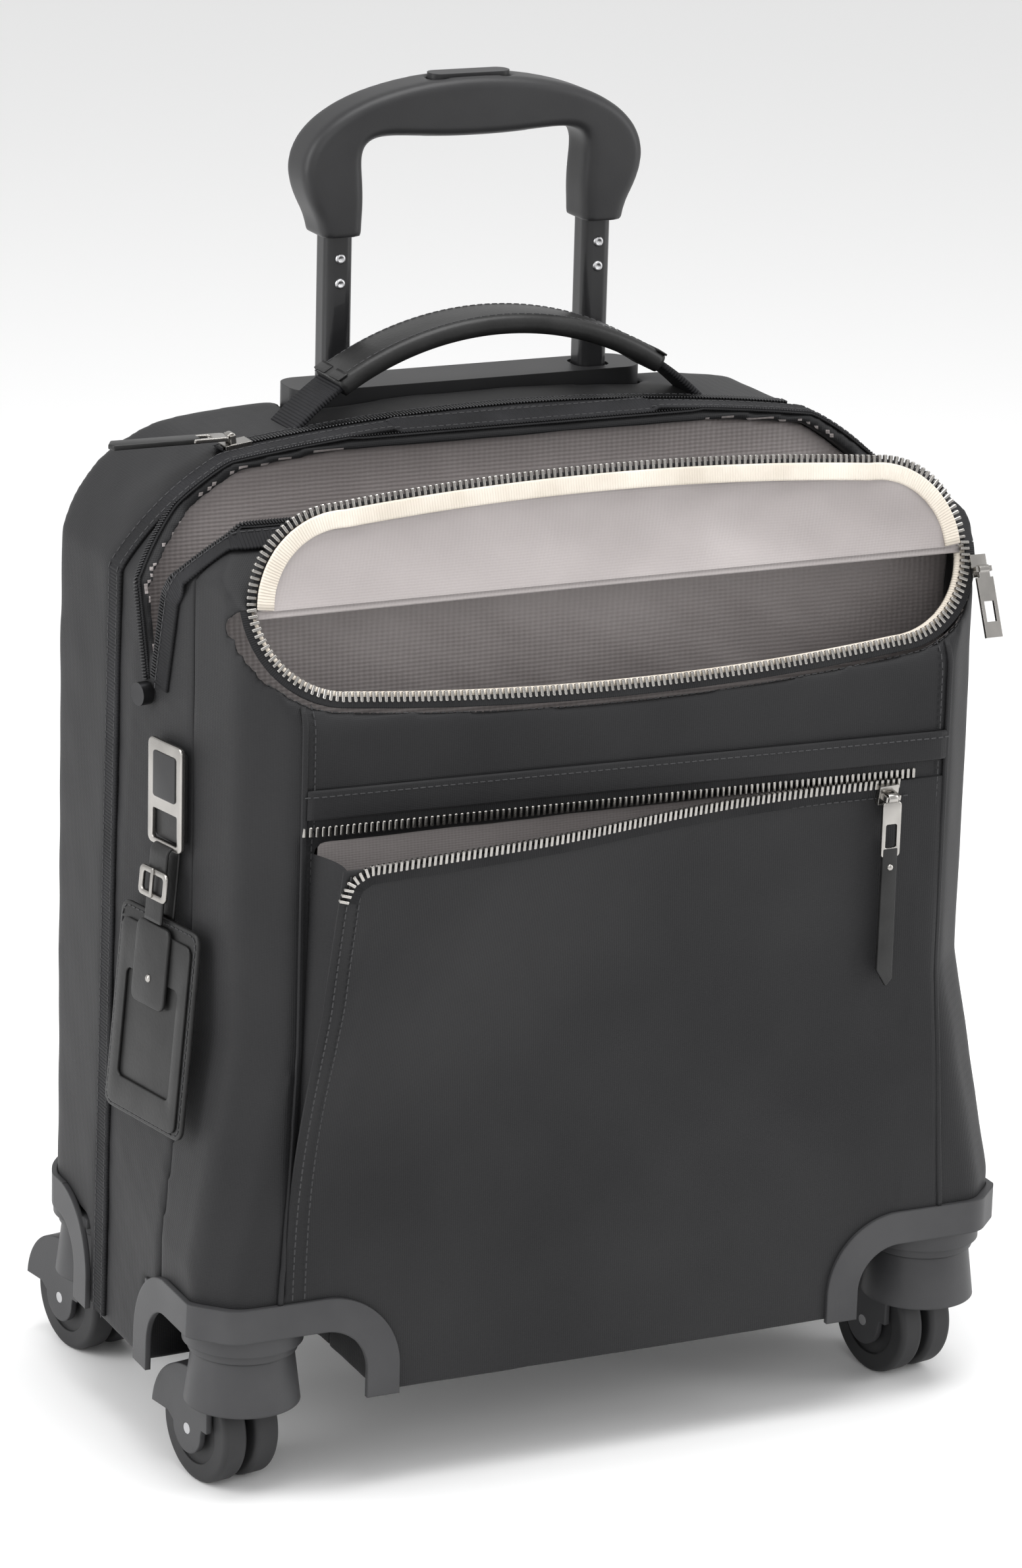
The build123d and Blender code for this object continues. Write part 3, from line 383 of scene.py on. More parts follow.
def sheet_grid(name, surface, across, along, look):
    """A grid of surface(u, v), with u and v from 0 to 1."""
    rows = [[surface(i / across, j / along) for j in range(along + 1)] for i in range(across + 1)]
    points = np.array(rows, float).reshape(-1, 3)
    m = along + 1
    faces = [(i * m + j, (i + 1) * m + j, (i + 1) * m + j + 1, i * m + j + 1)
             for i in range(across) for j in range(along)]
    return finish_mesh(name, points, faces, look)


def thicken(made, thick, offset=-1.0):
    solid = made.modifiers.new("thick", "SOLIDIFY")
    solid.thickness = thick * MM
    solid.offset = offset
    solid.use_even_offset = True
    return bake(made)


def rounded_rect(width, height, radius, count=5):
    points = []
    for turn, (sx, sy) in enumerate(((1, 1), (-1, 1), (-1, -1), (1, -1))):
        for step in range(count + 1):
            angle = (turn + step / count) * QUARTER
            points.append((sx * (width / 2 - radius) + radius * math.cos(angle),
                           sy * (height / 2 - radius) + radius * math.sin(angle)))
    return points


def plate(name, outline, thick, place, look, hole=None, bevel=0.4):
    """A flat piece from an outline, with an optional hole of as many points, and rounded edges."""
    n = len(outline)
    layers = [(outline, 0), (outline, thick)] + ([(hole, 0), (hole, thick)] if hole else [])
    points = [place @ Vector((x, y, z)) for ring, z in layers for x, y in ring]
    around = range(n)
    faces = [(i, (i + 1) % n, n + (i + 1) % n, n + i) for i in around]
    if hole:
        faces += [(2 * n + (i + 1) % n, 2 * n + i, 3 * n + i, 3 * n + (i + 1) % n) for i in around]
        faces += [((i + 1) % n, i, 2 * n + i, 2 * n + (i + 1) % n) for i in around]
        faces += [(n + i, n + (i + 1) % n, 3 * n + (i + 1) % n, 3 * n + i) for i in around]
    else:
        faces += [tuple(reversed(around)), tuple(n + i for i in around)]
    made = finish_mesh(name, points, faces, look)
    rounding = made.modifiers.new("edges", "BEVEL")
    rounding.width = bevel * MM
    rounding.segments = 3
    rounding.angle_limit = math.radians(50)
    return bake(made)


def turned(name, profile, place, look, count=28):
    """A lathed piece from (radius, height) points."""
    points, m = [], len(profile)
    for i in range(count):
        angle = 2 * math.pi * i / count
        points += [place @ Vector((r * math.cos(angle), r * math.sin(angle), h)) for r, h in profile]
    faces = [(i * m + j, ((i + 1) % count) * m + j, ((i + 1) % count) * m + j + 1, i * m + j + 1)
             for i in range(count) for j in range(m - 1)]
    return finish_mesh(name, points, faces, look)


def ripple(points, size, seed):
    """Smooth unevenness from -1 to 1 for an array of points in millimetres."""
    random = np.random.default_rng(seed)
    waves = random.normal(size=(7, 3)) * 2 * math.pi / size / 1.7
    phases = random.uniform(0, 2 * math.pi, 7)
    return np.sin(points @ waves.T + phases).sum(1) / 4


# ---- soft pieces from their CAD solids ----
def tree_of(*objects):
    """A ray target made of several meshes that lie in the row frame."""
    points, faces = [], []
    for one in objects:
        first = len(points)
        points += [v.co / MM for v in one.data.vertices]
        faces += [[first + i for i in p.vertices] for p in one.data.polygons]
    return BVHTree.FromPolygons(points, faces)


def soften(name, nodes, voxel, passes, look, rough=0.0, size=60.0, seed=1, lining=None, reach=90.0):
    """Fabric over the space of CAD solids: rounded, a little uneven, and lined on its inner faces."""
    bm = bmesh.new()
    for one in nodes:
        bm.from_mesh(NODES[one].data)
    bmesh.ops.remove_doubles(bm, verts=bm.verts, dist=1e-6)
    mesh = bpy.data.meshes.new(name)
    bm.to_mesh(mesh)
    bm.free()
    made = bpy.data.objects.new(name, mesh)
    bpy.context.scene.collection.objects.link(made)
    remesh = made.modifiers.new("remesh", "REMESH")
    remesh.mode = "VOXEL"
    remesh.voxel_size = voxel * MM
    smooth = made.modifiers.new("smooth", "SMOOTH")
    smooth.factor = 0.5
    smooth.iterations = passes
    bake(made)
    mesh = made.data
    count = len(mesh.vertices)
    points, normals = np.zeros(count * 3), np.zeros(count * 3)
    mesh.vertices.foreach_get("co", points)
    mesh.vertex_normals.foreach_get("vector", normals)
    points, normals = points.reshape(-1, 3) / MM, normals.reshape(-1, 3)
    if rough:
        lift = ripple(points, size, seed) * rough + ripple(points, size / 3, seed + 1) * rough * 0.35
        points = points + normals * lift[:, None]
        mesh.vertices.foreach_set("co", (points * MM).ravel())
    mesh.materials.clear()
    mesh.materials.append(look)
    mesh.polygons.foreach_set("use_smooth", [True] * len(mesh.polygons))
    if lining:
        mesh.materials.append(lining)
        target = tree_of(made)
        for face in mesh.polygons:
            start = face.center / MM + face.normal * 0.5
            if target.ray_cast(start, face.normal, reach)[0]:
                face.material_index = 1
    mesh.update()
    return made


def drop(points, direction, target, lift=0.0):
    """Lays points on a surface along a direction: places and normals where the ray met it."""
    places, normals = [], []
    for point in points:
        found = target.ray_cast(Vector(point), Vector(direction))
        if found[0] is None:
            continue
        places.append(found[0] + found[1] * lift)
        normals.append(found[1])
    return np.array(places), np.array(normals)


def round_the_body(depth, target, low, limit=None):
    """The outline over the top of the case, at a depth that depends on the height, from left to right."""
    places, normals = [], []
    for angle in np.linspace(-0.95, math.pi + 0.95, 420):
        way = Vector((-math.cos(angle), 0, math.sin(angle)))
        height = MOUTH_FULL
        for _ in range(4):
            centre = Vector((0, depth(height), 240))
            found = target.ray_cast(centre + way * 420, -way)
            if found[0] is None:
                break
            height = found[0].z
        if found[0] is None or found[0].z < low or (limit and abs(found[0].x) > limit):
            continue
        places.append(found[0])
        normals.append(found[1])
    return np.array(places), np.array(normals)


def mouth_edge(side, beside):
    """Depth of a line beside the laptop mouth's front (-1) or rear (1) edge, for each height."""
    centre = (MOUTH_FRONT + MOUTH_REAR) / 2
    heights = (MOUTH_LOW, MOUTH_NARROW[0], MOUTH_FULL)
    halves = (0, MOUTH_NARROW[1], (MOUTH_REAR - MOUTH_FRONT) / 2)
    return lambda z: centre + side * (np.interp(z, heights, halves) + beside)


# ---- fabric shells ----
rear = soften("rear_compartment", ["rear_shell"], 2.6, 14, NYLON, 0.5, 90, 3, FELT, 150)
settle(rear, "case", "black_nylon", "rear_shell")
gusset = soften("laptop_compartment", ["laptop_gusset"], 2.0, 6, NYLON, 0.3, 50, 5, LINING, 400)
settle(gusset, "case", "black_nylon", "laptop_gusset")
front = soften("front_compartment", ["front_shell"], 2.0, 7, NYLON, 0.35, 70, 7, LINING, 60)
settle(front, "case", "black_nylon", "front_shell")
wall = soften("pocket_back_wall", ["organiser_wall"], 2.2, 10, LINING, 1.1, 55, 9)
settle(wall, "case", "grey_lining", "organiser_wall")
divider = soften("laptop_back_wall", ["divider_panel"], 2.4, 8, LINING, 0.5, 70, 11)
settle(divider, "case", "grey_lining", "divider_panel")

FRONT = tree_of(front)
REAR = tree_of(rear)


def stitches(name, places, normals, body="case", across=0.0, outward=0.1):
    made = beads(name, places, normals, STITCH_PITCH, STITCH, THREAD, across, outward)
    return settle(made, body, "black_nylon")


# ---- bands and zips round the laptop compartment ----
def compartment_bands():
    """Ribbed bands, coils and tapes round the laptop compartment's open mouth."""
    sides = tree_of(NODES["rear_shell"], NODES["laptop_gusset"], NODES["front_shell"])
    rear_path = round_the_body(lambda z: REAR_BAND_Y, sides, BODY_LOW + 4)
    band = strip("rear_band", *rear_path, pillow(13, 1.9, 0.5), RIBBED)
    settle(band, "case", "ribbed_tape", "side_band")
    stitches("rear_band_stitches_front", *rear_path, across=-4.6, outward=1.75)
    stitches("rear_band_stitches_back", *rear_path, across=4.6, outward=1.75)
    front_path = round_the_body(mouth_edge(-1, 9.0), sides, MOUTH_LOW - 3)
    front_band = strip("front_band", *front_path, pillow(10, 1.7, 0.5), RIBBED)
    settle(front_band, "case", "ribbed_tape")
    stitches("front_band_stitches", *front_path, across=3.4, outward=1.6)
    for name, side in (("front_coil", -1), ("rear_coil", 1)):
        edge = round_the_body(mouth_edge(side, 2.6), sides, MOUTH_LOW)
        settle(beads(name, *edge, 1.35, COIL_TURN, COIL, 0, 0.5), "case", "zip_metal", "laptop_zip")
        settle(strip(name + "_tape", *edge, pillow(5.0, 0.9, 0.5), TAPE), "case", "ribbed_tape")


def main_zip():
    """The closed zip of the main compartment over the top of the case."""
    shell = tree_of(NODES["rear_shell"], NODES["main_zip"])
    path = round_the_body(lambda z: MAIN_ZIP_Y, shell, 300, limit=MAIN_ZIP_HALF)
    tape = strip("main_zip_tape", *path, pillow(17, 1.0, 0.5), RIBBED)
    settle(tape, "case", "ribbed_tape", "main_zip")
    coil = beads("main_zip_coil", *path, 1.5, cube_template(0.95, 5.4, 1.5, 0.3), COIL, 0, 0.7)
    settle(coil, "case", "zip_metal")
    for word, side in (("front", -1), ("rear", 1)):
        stitches(f"main_zip_stitches_{word}", *path, across=7.2 * side, outward=0.9)


# ---- the upper pocket ----
LID_OUT = Vector((0, LIP_Z - HINGE.z, HINGE.y - FRONT_Y)).normalized()
LID_UP = LID_OUT.cross(Vector((1, 0, 0)))
FOLD = Matrix.Translation(Vector(JOINTS["upper_flap_fold"]["pos_m"]) / MM)
OPENED = FOLD @ Matrix.Rotation(math.radians(-FLAP_OPEN), 4, "X") @ FOLD.inverted()


def smile(grow, count=40):
    """The mouth's outline in its own sloping plane, from the left end of the hinge to the right."""
    half, deep = FLAP_HALF + grow, LID_DEPTH + grow
    turn = (half * 0.76, deep * 0.86)
    bulge = (half * 0.95, deep * 0.52)
    left = arc_through((-half, 0), (-bulge[0], -bulge[1]), (-turn[0], -turn[1]), count // 3)
    bottom = arc_through((-turn[0], -turn[1]), (0, -deep), (turn[0], -turn[1]), count)
    right = arc_through((turn[0], -turn[1]), (bulge[0], -bulge[1]), (half, 0), count // 3)
    return left[:-1] + bottom[:-1] + right


def on_lid(x, y, out, opened=False):
    point = HINGE + Vector((x, 0, 0)) + LID_UP * y + LID_OUT * out
    return OPENED @ point if opened else point


def lid_path(grow, out, opened=False, flip=1):
    places = [on_lid(x, y, out, opened) for x, y in smile(grow)]
    way = (OPENED.to_3x3() @ LID_OUT if opened else LID_OUT) * flip
    return np.array(places), np.array([way] * len(places))


def mouth():
    """Tape, teeth, binding and stitches of the upper pocket's mouth."""
    edge = lid_path(0, 0)
    tape = strip("mouth_tape", *lid_path(2.4, -0.6), pillow(4.8, 1.3, 0.5), TAPE)
    settle(tape, "case", "ribbed_tape", "upper_pocket_zip")
    teeth = beads("mouth_teeth", *edge, CHAIN_PITCH, TOOTH, GUNMETAL, 0, -0.7)
    settle(teeth, "case", "zip_metal")
    binding = strip("mouth_binding", *lid_path(-0.6, -6.0), pillow(5, 4.4, 0.5), IVORY)
    settle(binding, "case", "grey_lining")
    above = [on_lid(x, y, 30) for x, y in smile(7.0) if abs(x) < FLAP_HALF - 4]
    stitches("mouth_stitches", *drop(above, -LID_OUT, FRONT), outward=0.1)


def flap_bow(x, depth):
    """How far the thin flap stands off its flat plane."""
    across = x / FLAP_HALF
    return 3.2 * math.sin(math.pi * min(depth, 1)) * (1 - across * across) + 1.2 * math.sin(x / 31.0) * depth


def flap_sheet(name, inset, out, folds, look, count=(150, 26)):
    rim = smile(inset, 2 * count[0] // 3)
    last = len(rim) - 1

    def surface(u, v):
        place = u * last
        i = min(int(place), last - 1)
        x = rim[i][0] + (rim[i + 1][0] - rim[i][0]) * (place - i)
        y = rim[i][1] + (rim[i + 1][1] - rim[i][1]) * (place - i)
        root = (x * 0.985, 0.8)
        px, py = root[0] + (x - root[0]) * v, root[1] + (y - root[1]) * v
        middle = math.sin(math.pi * min(v * 1.05, 1.0))
        crease = math.sin(px / 6.5 + py / 9.0) + 0.7 * math.sin(px / 11.0 - py / 7.0 + 1.0)
        fold = folds * middle * crease * (0.6 + 0.4 * math.sin(px / 47.0))
        return on_lid(px, py, out + flap_bow(px, v) + fold, True)

    return sheet_grid(name, surface, *count, look)


def upper_flap():
    """The open flap: outer cloth, satin lining, binding and zip, and the fold at its root."""
    outer = thicken(flap_sheet("flap_outer", -1.5, -0.3, 0.15, NYLON), 0.9, 0)
    settle(outer, "upper_flap", "black_nylon", "upper_flap")
    lining = flap_sheet("flap_lining", -3.2, -2.9, 0.75, SATIN)
    settle(lining, "upper_flap", "grey_lining")
    bound = strip("flap_binding", *lid_path(-6.0, -2.6, True, -1), pillow(7.5, 1.8, 0.5), IVORY)
    settle(bound, "upper_flap", "grey_lining")
    tape = strip("flap_tape", *lid_path(-2.6, -1.9, True), pillow(4.4, 1.4, 0.5), TAPE)
    settle(tape, "upper_flap", "ribbed_tape")
    teeth = beads("flap_teeth", *lid_path(-0.6, 0, True), CHAIN_PITCH, TOOTH, GUNMETAL, 0, -2.2)
    settle(teeth, "upper_flap", "zip_metal", "upper_flap_zip")
    ends = [(-FLAP_HALF + 2, HINGE.y + 1, HINGE.z - 2.2), (0, HINGE.y + 1, HINGE.z - 1.6),
            (FLAP_HALF - 2, HINGE.y + 1, HINGE.z - 2.2)]
    fold = strip("flap_crease", ends, [LID_OUT] * 3, shifted(pillow(4.5, 1.6, 0.5), 0, -0.8), SATIN)
    settle(fold, "case", "grey_lining")


# ---- the front panel and the lower pocket ----
ZIP_END = Vector((ZIP_RIGHT, TACK.y, ZIP_Z - ZIP_FALL))
CREASE = (ZIP_END - TACK).normalized()
ACROSS_CREASE = Vector((-CREASE.z, 0, CREASE.x))
BEND_WIDTH = 112


def zip_height(x):
    return ZIP_Z - ZIP_FALL * (x - ZIP_LEFT) / (ZIP_RIGHT - ZIP_LEFT)


def pull_open(point):
    """Swings the loose corner out about the crease, turning smoothly beside it."""
    share = max(0.0, min(1.0, (point - TACK).dot(ACROSS_CREASE) / BEND_WIDTH))
    share = share * share * (3 - 2 * share)
    turn = Matrix.Rotation(math.radians(POCKET_OPEN) * share, 4, CREASE)
    return TACK + turn @ (point - TACK)


def crosses_crease(made, slot, *nodes):
    """Bakes the piece's place into its mesh and stands for CAD nodes; its points were already swung open about
    the crease.
    """
    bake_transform(made)
    if nodes:
        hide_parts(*nodes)
    return made


def seam_x(z):
    """Half-width between the front panel's side seams."""
    if z >= SEAM_BEND:
        return 150.0
    return 150.0 + 8.0 * min(1.0, (SEAM_BEND - z) / (SEAM_BEND - SEAM_LOW))


def face_y(x, z):
    """The front face, read where the case isn't cut for the pocket."""
    if abs(x) < 136:
        return FRONT_Y
    found = FRONT.ray_cast(Vector((abs(x), -300, z)), Vector((0, 1, 0)))
    return found[0].y if found[0] else FRONT_Y


def panel_edge_x(z):
    """The panel's left edge, which is free above the tack."""
    if z < TACK.z:
        return -seam_x(z) + 1
    return TACK.x + (ZIP_LEFT - TACK.x) * (z - TACK.z) / (ZIP_Z - TACK.z)


def panel_point(u, v, lift=1.1):
    """A point of the front panel as it lies on the case, before its corner is pulled open."""
    low = BODY_LOW + 2
    guess = low + (ZIP_Z - low) * v
    left, right = panel_edge_x(guess), seam_x(guess) - 1
    x = left + (right - left) * u
    top = min(zip_height(x), ZIP_Z) - 0.8
    z = low + (top - low) * v
    puff = 0.9 * math.sin(math.pi * u) * math.sin(math.pi * v) + 0.5 * math.sin(x / 37.0 + z / 51.0)
    return Vector((x, face_y(x, z) - lift - puff, z))


def front_panel():
    """The front panel with its loose corner, cut away at the wheel wells, and its stitches."""
    made = sheet_grid("front_panel", lambda u, v: pull_open(panel_point(u, v)), 150, 120, NYLON)
    bm = bmesh.new()
    bm.from_mesh(made.data)
    hidden = [f for f in bm.faces if abs(f.calc_center_median().x) > WELL_X * MM
              and f.calc_center_median().z < WELL_TOP * MM]
    bmesh.ops.delete(bm, geom=hidden, context="FACES")
    bm.to_mesh(made.data)
    bm.free()
    thicken(made, 1.3, 1.0 if made.data.polygons[0].normal.y > 0 else -1.0)
    crosses_crease(made, "black_nylon", "lower_flap")
    heights = np.linspace(TACK.z, ZIP_Z - 4, 60)
    for name, inset in (("panel_edge_stitches", 3.0), ("panel_edge_stitches_inner", 8.5)):
        line = []
        for z in heights:
            x = panel_edge_x(z) + inset
            line.append(pull_open(Vector((x, face_y(x, z) - 1.9, z))))
        row = beads(name, line, [(0, -1, 0)] * len(line), STITCH_PITCH, STITCH, THREAD)
        crosses_crease(row, "black_nylon")
    top = []
    for x in np.linspace(ZIP_LEFT + 5, ZIP_RIGHT - 4, 90):
        top.append(pull_open(Vector((x, face_y(x, zip_height(x)) - 1.9, zip_height(x) - 7.5))))
    crosses_crease(beads("lower_zip_stitches", top, [(0, -1, 0)] * len(top), STITCH_PITCH, STITCH, THREAD),
                   "black_nylon")


def lower_zip():
    """Both chains of the lower zip, the tape beside them and the welt that hides the upper one."""
    rise = []
    corner = [(ZIP_LEFT + 1.0, zip_height(ZIP_LEFT) - 14), (ZIP_LEFT + 3.5, zip_height(ZIP_LEFT) - 5.5)]
    for x, z in corner + [(x, zip_height(x) - 1.2) for x in np.linspace(ZIP_LEFT + 11, ZIP_RIGHT - 8, 110)]:
        rise.append(pull_open(Vector((x, face_y(x, z) - 1.6, z))))
    outward = [(0, -1, -0.12)] * len(rise)
    teeth = beads("lower_teeth", rise, outward, CHAIN_PITCH, TOOTH, GUNMETAL, 0, -0.4)
    crosses_crease(teeth, "zip_metal", "lower_flap_zip")
    tape = strip("lower_tape", rise, outward, shifted(pillow(6, 1.2, 0.5), -3.6, -0.2), TAPE)
    crosses_crease(tape, "ribbed_tape")
    fixed = [Vector((x, face_y(x, 310) - 0.4, zip_height(x) + 2.0))
             for x in np.linspace(ZIP_LEFT, ZIP_RIGHT, 110)]
    face = [(0, -1, 0)] * len(fixed)
    settle(beads("upper_teeth", fixed, face, CHAIN_PITCH, TOOTH, GUNMETAL, 0, -0.8), "case", "zip_metal",
           "lower_pocket_zip")
    tape = strip("upper_tape", fixed, face, shifted(pillow(6, 1.0, 0.5), 4.0, -0.6), TAPE)
    settle(tape, "case", "ribbed_tape")
    welt = [Vector((x, face_y(x, 312) - 0.2, 311.5 - (ZIP_FALL * (x - ZIP_LEFT) / (ZIP_RIGHT - ZIP_LEFT))))
            for x in np.linspace(-149, 149, 90)]
    face = [(0, -1, 0)] * len(welt)
    settle(strip("zip_welt", welt, face, pillow(13, 2.0, 0.6), NYLON), "case", "black_nylon")
    stitches("zip_welt_stitches", welt, face, across=3.6, outward=1.8)


def pocket_inside():
    """Satin on the pocket's back wall, and the folded gusset at its open end."""
    back = FRONT_Y + 9.6

    def satin(u, v):
        x, z = ZIP_LEFT + 8 + (ZIP_RIGHT - ZIP_LEFT - 10) * u, 150 + 145 * v
        fold = 0.9 * math.sin(x / 8.0 + z / 21.0) + 0.5 * math.sin(x / 19.0 - z / 9.0)
        return Vector((x, back - 5.2 * v * v + fold * (1 - v), z))

    lining = sheet_grid("pocket_lining", satin, 130, 40, SATIN)
    settle(lining, "case", "grey_lining")

    def gusset_fold(u, v):
        z = TACK.z + 4 + (ZIP_Z - 12 - TACK.z) * v
        x = panel_edge_x(z) + 2.5
        rooted = Vector((x + 2.0, FRONT_Y + 2.0, z))
        free = pull_open(Vector((x, FRONT_Y + 0.6, z)))
        return rooted.lerp(free, u) + Vector((7.0 * math.sin(math.pi * u) * v, 0, 0))

    side = sheet_grid("pocket_gusset", gusset_fold, 14, 60, NYLON)
    settle(side, "case", "black_nylon")
    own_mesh(side)


def front_seams():
    """Side seams of the front panel: a raised fold with stitches beside it."""
    for side in (-1, 1):
        word = "left" if side < 0 else "right"
        line = [(side * seam_x(z), -300, z) for z in np.linspace(WELL_TOP + 10, LIP_Z + 12, 90)]
        path = drop(line, (0, 1, 0), FRONT)
        fold = strip(f"seam_{word}", *path, pillow(2.6, 1.7, 0.5), NYLON)
        settle(fold, "case", "black_nylon")
        stitches(f"seam_stitches_{word}", *path, across=4.2 * side, outward=0.25)


# ---- metal and leather ----
def hang_frame(joint, across, down, lift=0.0):
    """A frame at a pull's pin: X across the pull, -Y down its length, Z away from the case."""
    origin = Vector(JOINTS[joint]["pos_m"]) / MM
    x, y = Vector(across).normalized(), -Vector(down).normalized()
    z = x.cross(y).normalized()
    made = Matrix((x, y, z)).transposed().to_4x4()
    return Matrix.Translation(origin + z * lift) @ made


def knuckle(name, place, width, body):
    """A rolled eye round the slider's pin."""
    ring = [(1.9, -width / 2), (2.1, -width / 2 + 0.5), (2.1, width / 2 - 0.5), (1.9, width / 2),
            (0.95, width / 2), (0.95, -width / 2), (1.9, -width / 2)]
    made = turned(name, ring, place @ Matrix.Rotation(QUARTER, 4, "Y"), GUNMETAL)
    return settle(made, body, "zip_metal")


def metal_pull(name, place, width, start, end, body, *nodes):
    """A flat pull with a window, from a start to an end below its pin."""
    length = end - start
    centre = place @ Matrix.Translation((0, -(start + end) / 2, -0.9))
    outline = rounded_rect(width, length, 1.6)
    window = [(x, y - length * 0.12) for x, y in rounded_rect(width - 3.6, length * 0.42, 1.0)]
    made = plate(name, outline, 1.8, centre, GUNMETAL, window, 0.45)
    return settle(made, body, "zip_metal", *nodes)


def leather_tab(name, place, width, start, end, body, slant=8.0):
    """A two-layer tab with a slanted tip."""
    half = width / 2
    outline = [(-half, -start), (-half - 0.4, -end + slant), (half * 0.2, -end), (half, -end + slant * 0.45),
               (half - 0.3, -start)]
    made = plate(name, outline, 2.4, place @ Matrix.Translation((0, 0, -1.2)), LEATHER, None, 0.6)
    return settle(made, body, "black_leather")


def rivet(name, place, body, radius=1.5):
    profile = [(0, 0.9), (radius * 0.6, 0.8), (radius, 0.3), (radius, 0), (0, 0)]
    return settle(turned(name, profile, place, GUNMETAL, 18), body, "zip_metal")


def zip_pulls():
    """The lower pocket's and the main zip's pulls: an eye, a metal plate and a leather tab each."""
    low = hang_frame("lower_pull_swing", (1, 0, 0), (0, 0, -1))
    knuckle("lower_pull_eye", low, 4.6, "lower_pull")
    metal_pull("lower_pull_plate", low, 9.0, 1.6, 26.5, "lower_pull", "lower_pull")
    leather_tab("lower_pull_tab", low, 7.4, 22.5, 85.5, "lower_pull")
    rivet("lower_pull_rivet", low @ Matrix.Translation((0, -31, 1.1)), "lower_pull")
    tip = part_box("main_pull")[0] / MM
    pin = Vector(JOINTS["main_pull_swing"]["pos_m"]) / MM
    droop = Vector((tip.x - pin.x, 0, tip.z + 2 - pin.z))
    main = hang_frame("main_pull_swing", (0, -1, 0), droop)
    knuckle("main_pull_eye", main, 4.6, "main_pull")
    metal_pull("main_pull_ring", main, 9.0, 1.6, 18.5, "main_pull", "main_pull")
    leather_tab("main_pull_tab", main, 8.8, 14.5, 55.5, "main_pull", 3.0)


def name_tag():
    """The plate on the side, and the strap, buckle and tag that hang from it."""
    swing = JOINTS["name_tag_swing"]
    pivot = Vector(swing["pos_m"]) / MM
    x = -Vector(swing["axis"])
    y = Vector((0, 0, 1))
    side = Matrix((x, y, x.cross(y))).transposed().to_4x4()
    fixed = Matrix.Translation(pivot) @ side
    outline = [(px, py + 22) for px, py in rounded_rect(26, 46, 3)]
    opening = [(px, py + 8) for px, py in rounded_rect(19, 13, 1.2)]
    settle(plate("tag_plate_frame", outline, 2.0, fixed @ Matrix.Translation((0, 0, -0.9)), GUNMETAL,
                 opening, 0.5), "case", "zip_metal", "tag_plate")
    insert = [(px, py + 30) for px, py in rounded_rect(17, 20, 1.5)]
    settle(plate("tag_plate_insert", insert, 0.7, fixed @ Matrix.Translation((0, 0, 0.9)), GRIP, None, 0.2),
           "case", "black_leather")
    patch = [(px, py + 22) for px, py in rounded_rect(22, 40, 3)]
    settle(plate("tag_plate_patch", patch, 2.6, fixed @ Matrix.Translation((0, 0, -3.6)), LEATHER, None, 0.4),
           "case", "black_leather")
    hang = fixed @ Matrix.Rotation(math.radians(-TAG_LEAN), 4, "X")
    loop = arc_through((3.0, 0), (0, 3.0), (-3.0, 0), 12)
    line = [hang @ Vector((0, -33 + 0.5 * i, 3.0)) for i in range(60)]
    line += [hang @ Vector((0, -3.0 + py, px)) for px, py in loop]
    line += [hang @ Vector((0, -4 - 0.5 * i, -3.0)) for i in range(56)]
    out = [hang.to_3x3() @ Vector((0, 0, 1))] * 60
    out += [hang.to_3x3() @ Vector((0, py, px)) for px, py in loop]
    out += [hang.to_3x3() @ Vector((0, 0, -1))] * 56
    strap = strip("tag_strap", line, out, shifted(pillow(13, 1.5, 0.5), 0, -0.8), LEATHER, 1.5)
    settle(strap, "name_tag", "black_leather", "tag_strap")
    frame_outline = [(px, py - 16.5) for px, py in rounded_rect(21, 13, 2.5)]
    frame_hole = [(px, py - 16.5) for px, py in rounded_rect(15.5, 8, 1.5)]
    at_front = hang @ Matrix.Translation((0, 0, 3.6))
    buckle = plate("tag_buckle", frame_outline, 1.8, at_front, GUNMETAL, frame_hole, 0.6)
    settle(buckle, "name_tag", "zip_metal", "tag_buckle")
    prong = [(px, py - 16.0) for px, py in rounded_rect(1.8, 13, 0.8)]
    settle(plate("tag_prong", prong, 1.4, hang @ Matrix.Translation((0, 0, 4.8)), GUNMETAL, None, 0.4),
           "name_tag", "zip_metal")
    centre = -TAG_TOP - TAG_SIZE[1] / 2
    back = [(px, py + centre) for px, py in rounded_rect(*TAG_SIZE, 5)]
    settle(plate("tag_back", back, 2.2, hang @ Matrix.Translation((0, 0, -2.4)), LEATHER, None, 0.7),
           "name_tag", "black_leather", "name_tag")
    face = [(px, py + centre - 2) for px, py in rounded_rect(53, 82, 4)]
    window = [(px, py + centre - 6) for px, py in rounded_rect(40, 48, 3)]
    settle(plate("tag_face", face, 1.3, hang @ Matrix.Translation((0, 0, -0.1)), LEATHER, window, 0.5),
           "name_tag", "black_leather")
    cover = [(px, py - 52) for px, py in rounded_rect(25, 36, 4)]
    settle(plate("tag_cover", cover, 1.9, hang @ Matrix.Translation((0, 0, 1.1)), LEATHER, None, 0.7),
           "name_tag", "black_leather")
    edge = [Vector((px, py + centre)) for px, py in rounded_rect(56.5, 87.5, 4)]
    edge.append(edge[0])
    seam = [hang @ Vector((p.x, p.y, -0.2)) for p in edge]
    stitches("tag_stitches", seam, [hang.to_3x3() @ Vector((0, 0, 1))] * len(seam), "name_tag", 0, 0)
    rivet("tag_rivet", hang @ Matrix.Translation((0, -58, 3.0)), "name_tag", 1.8)


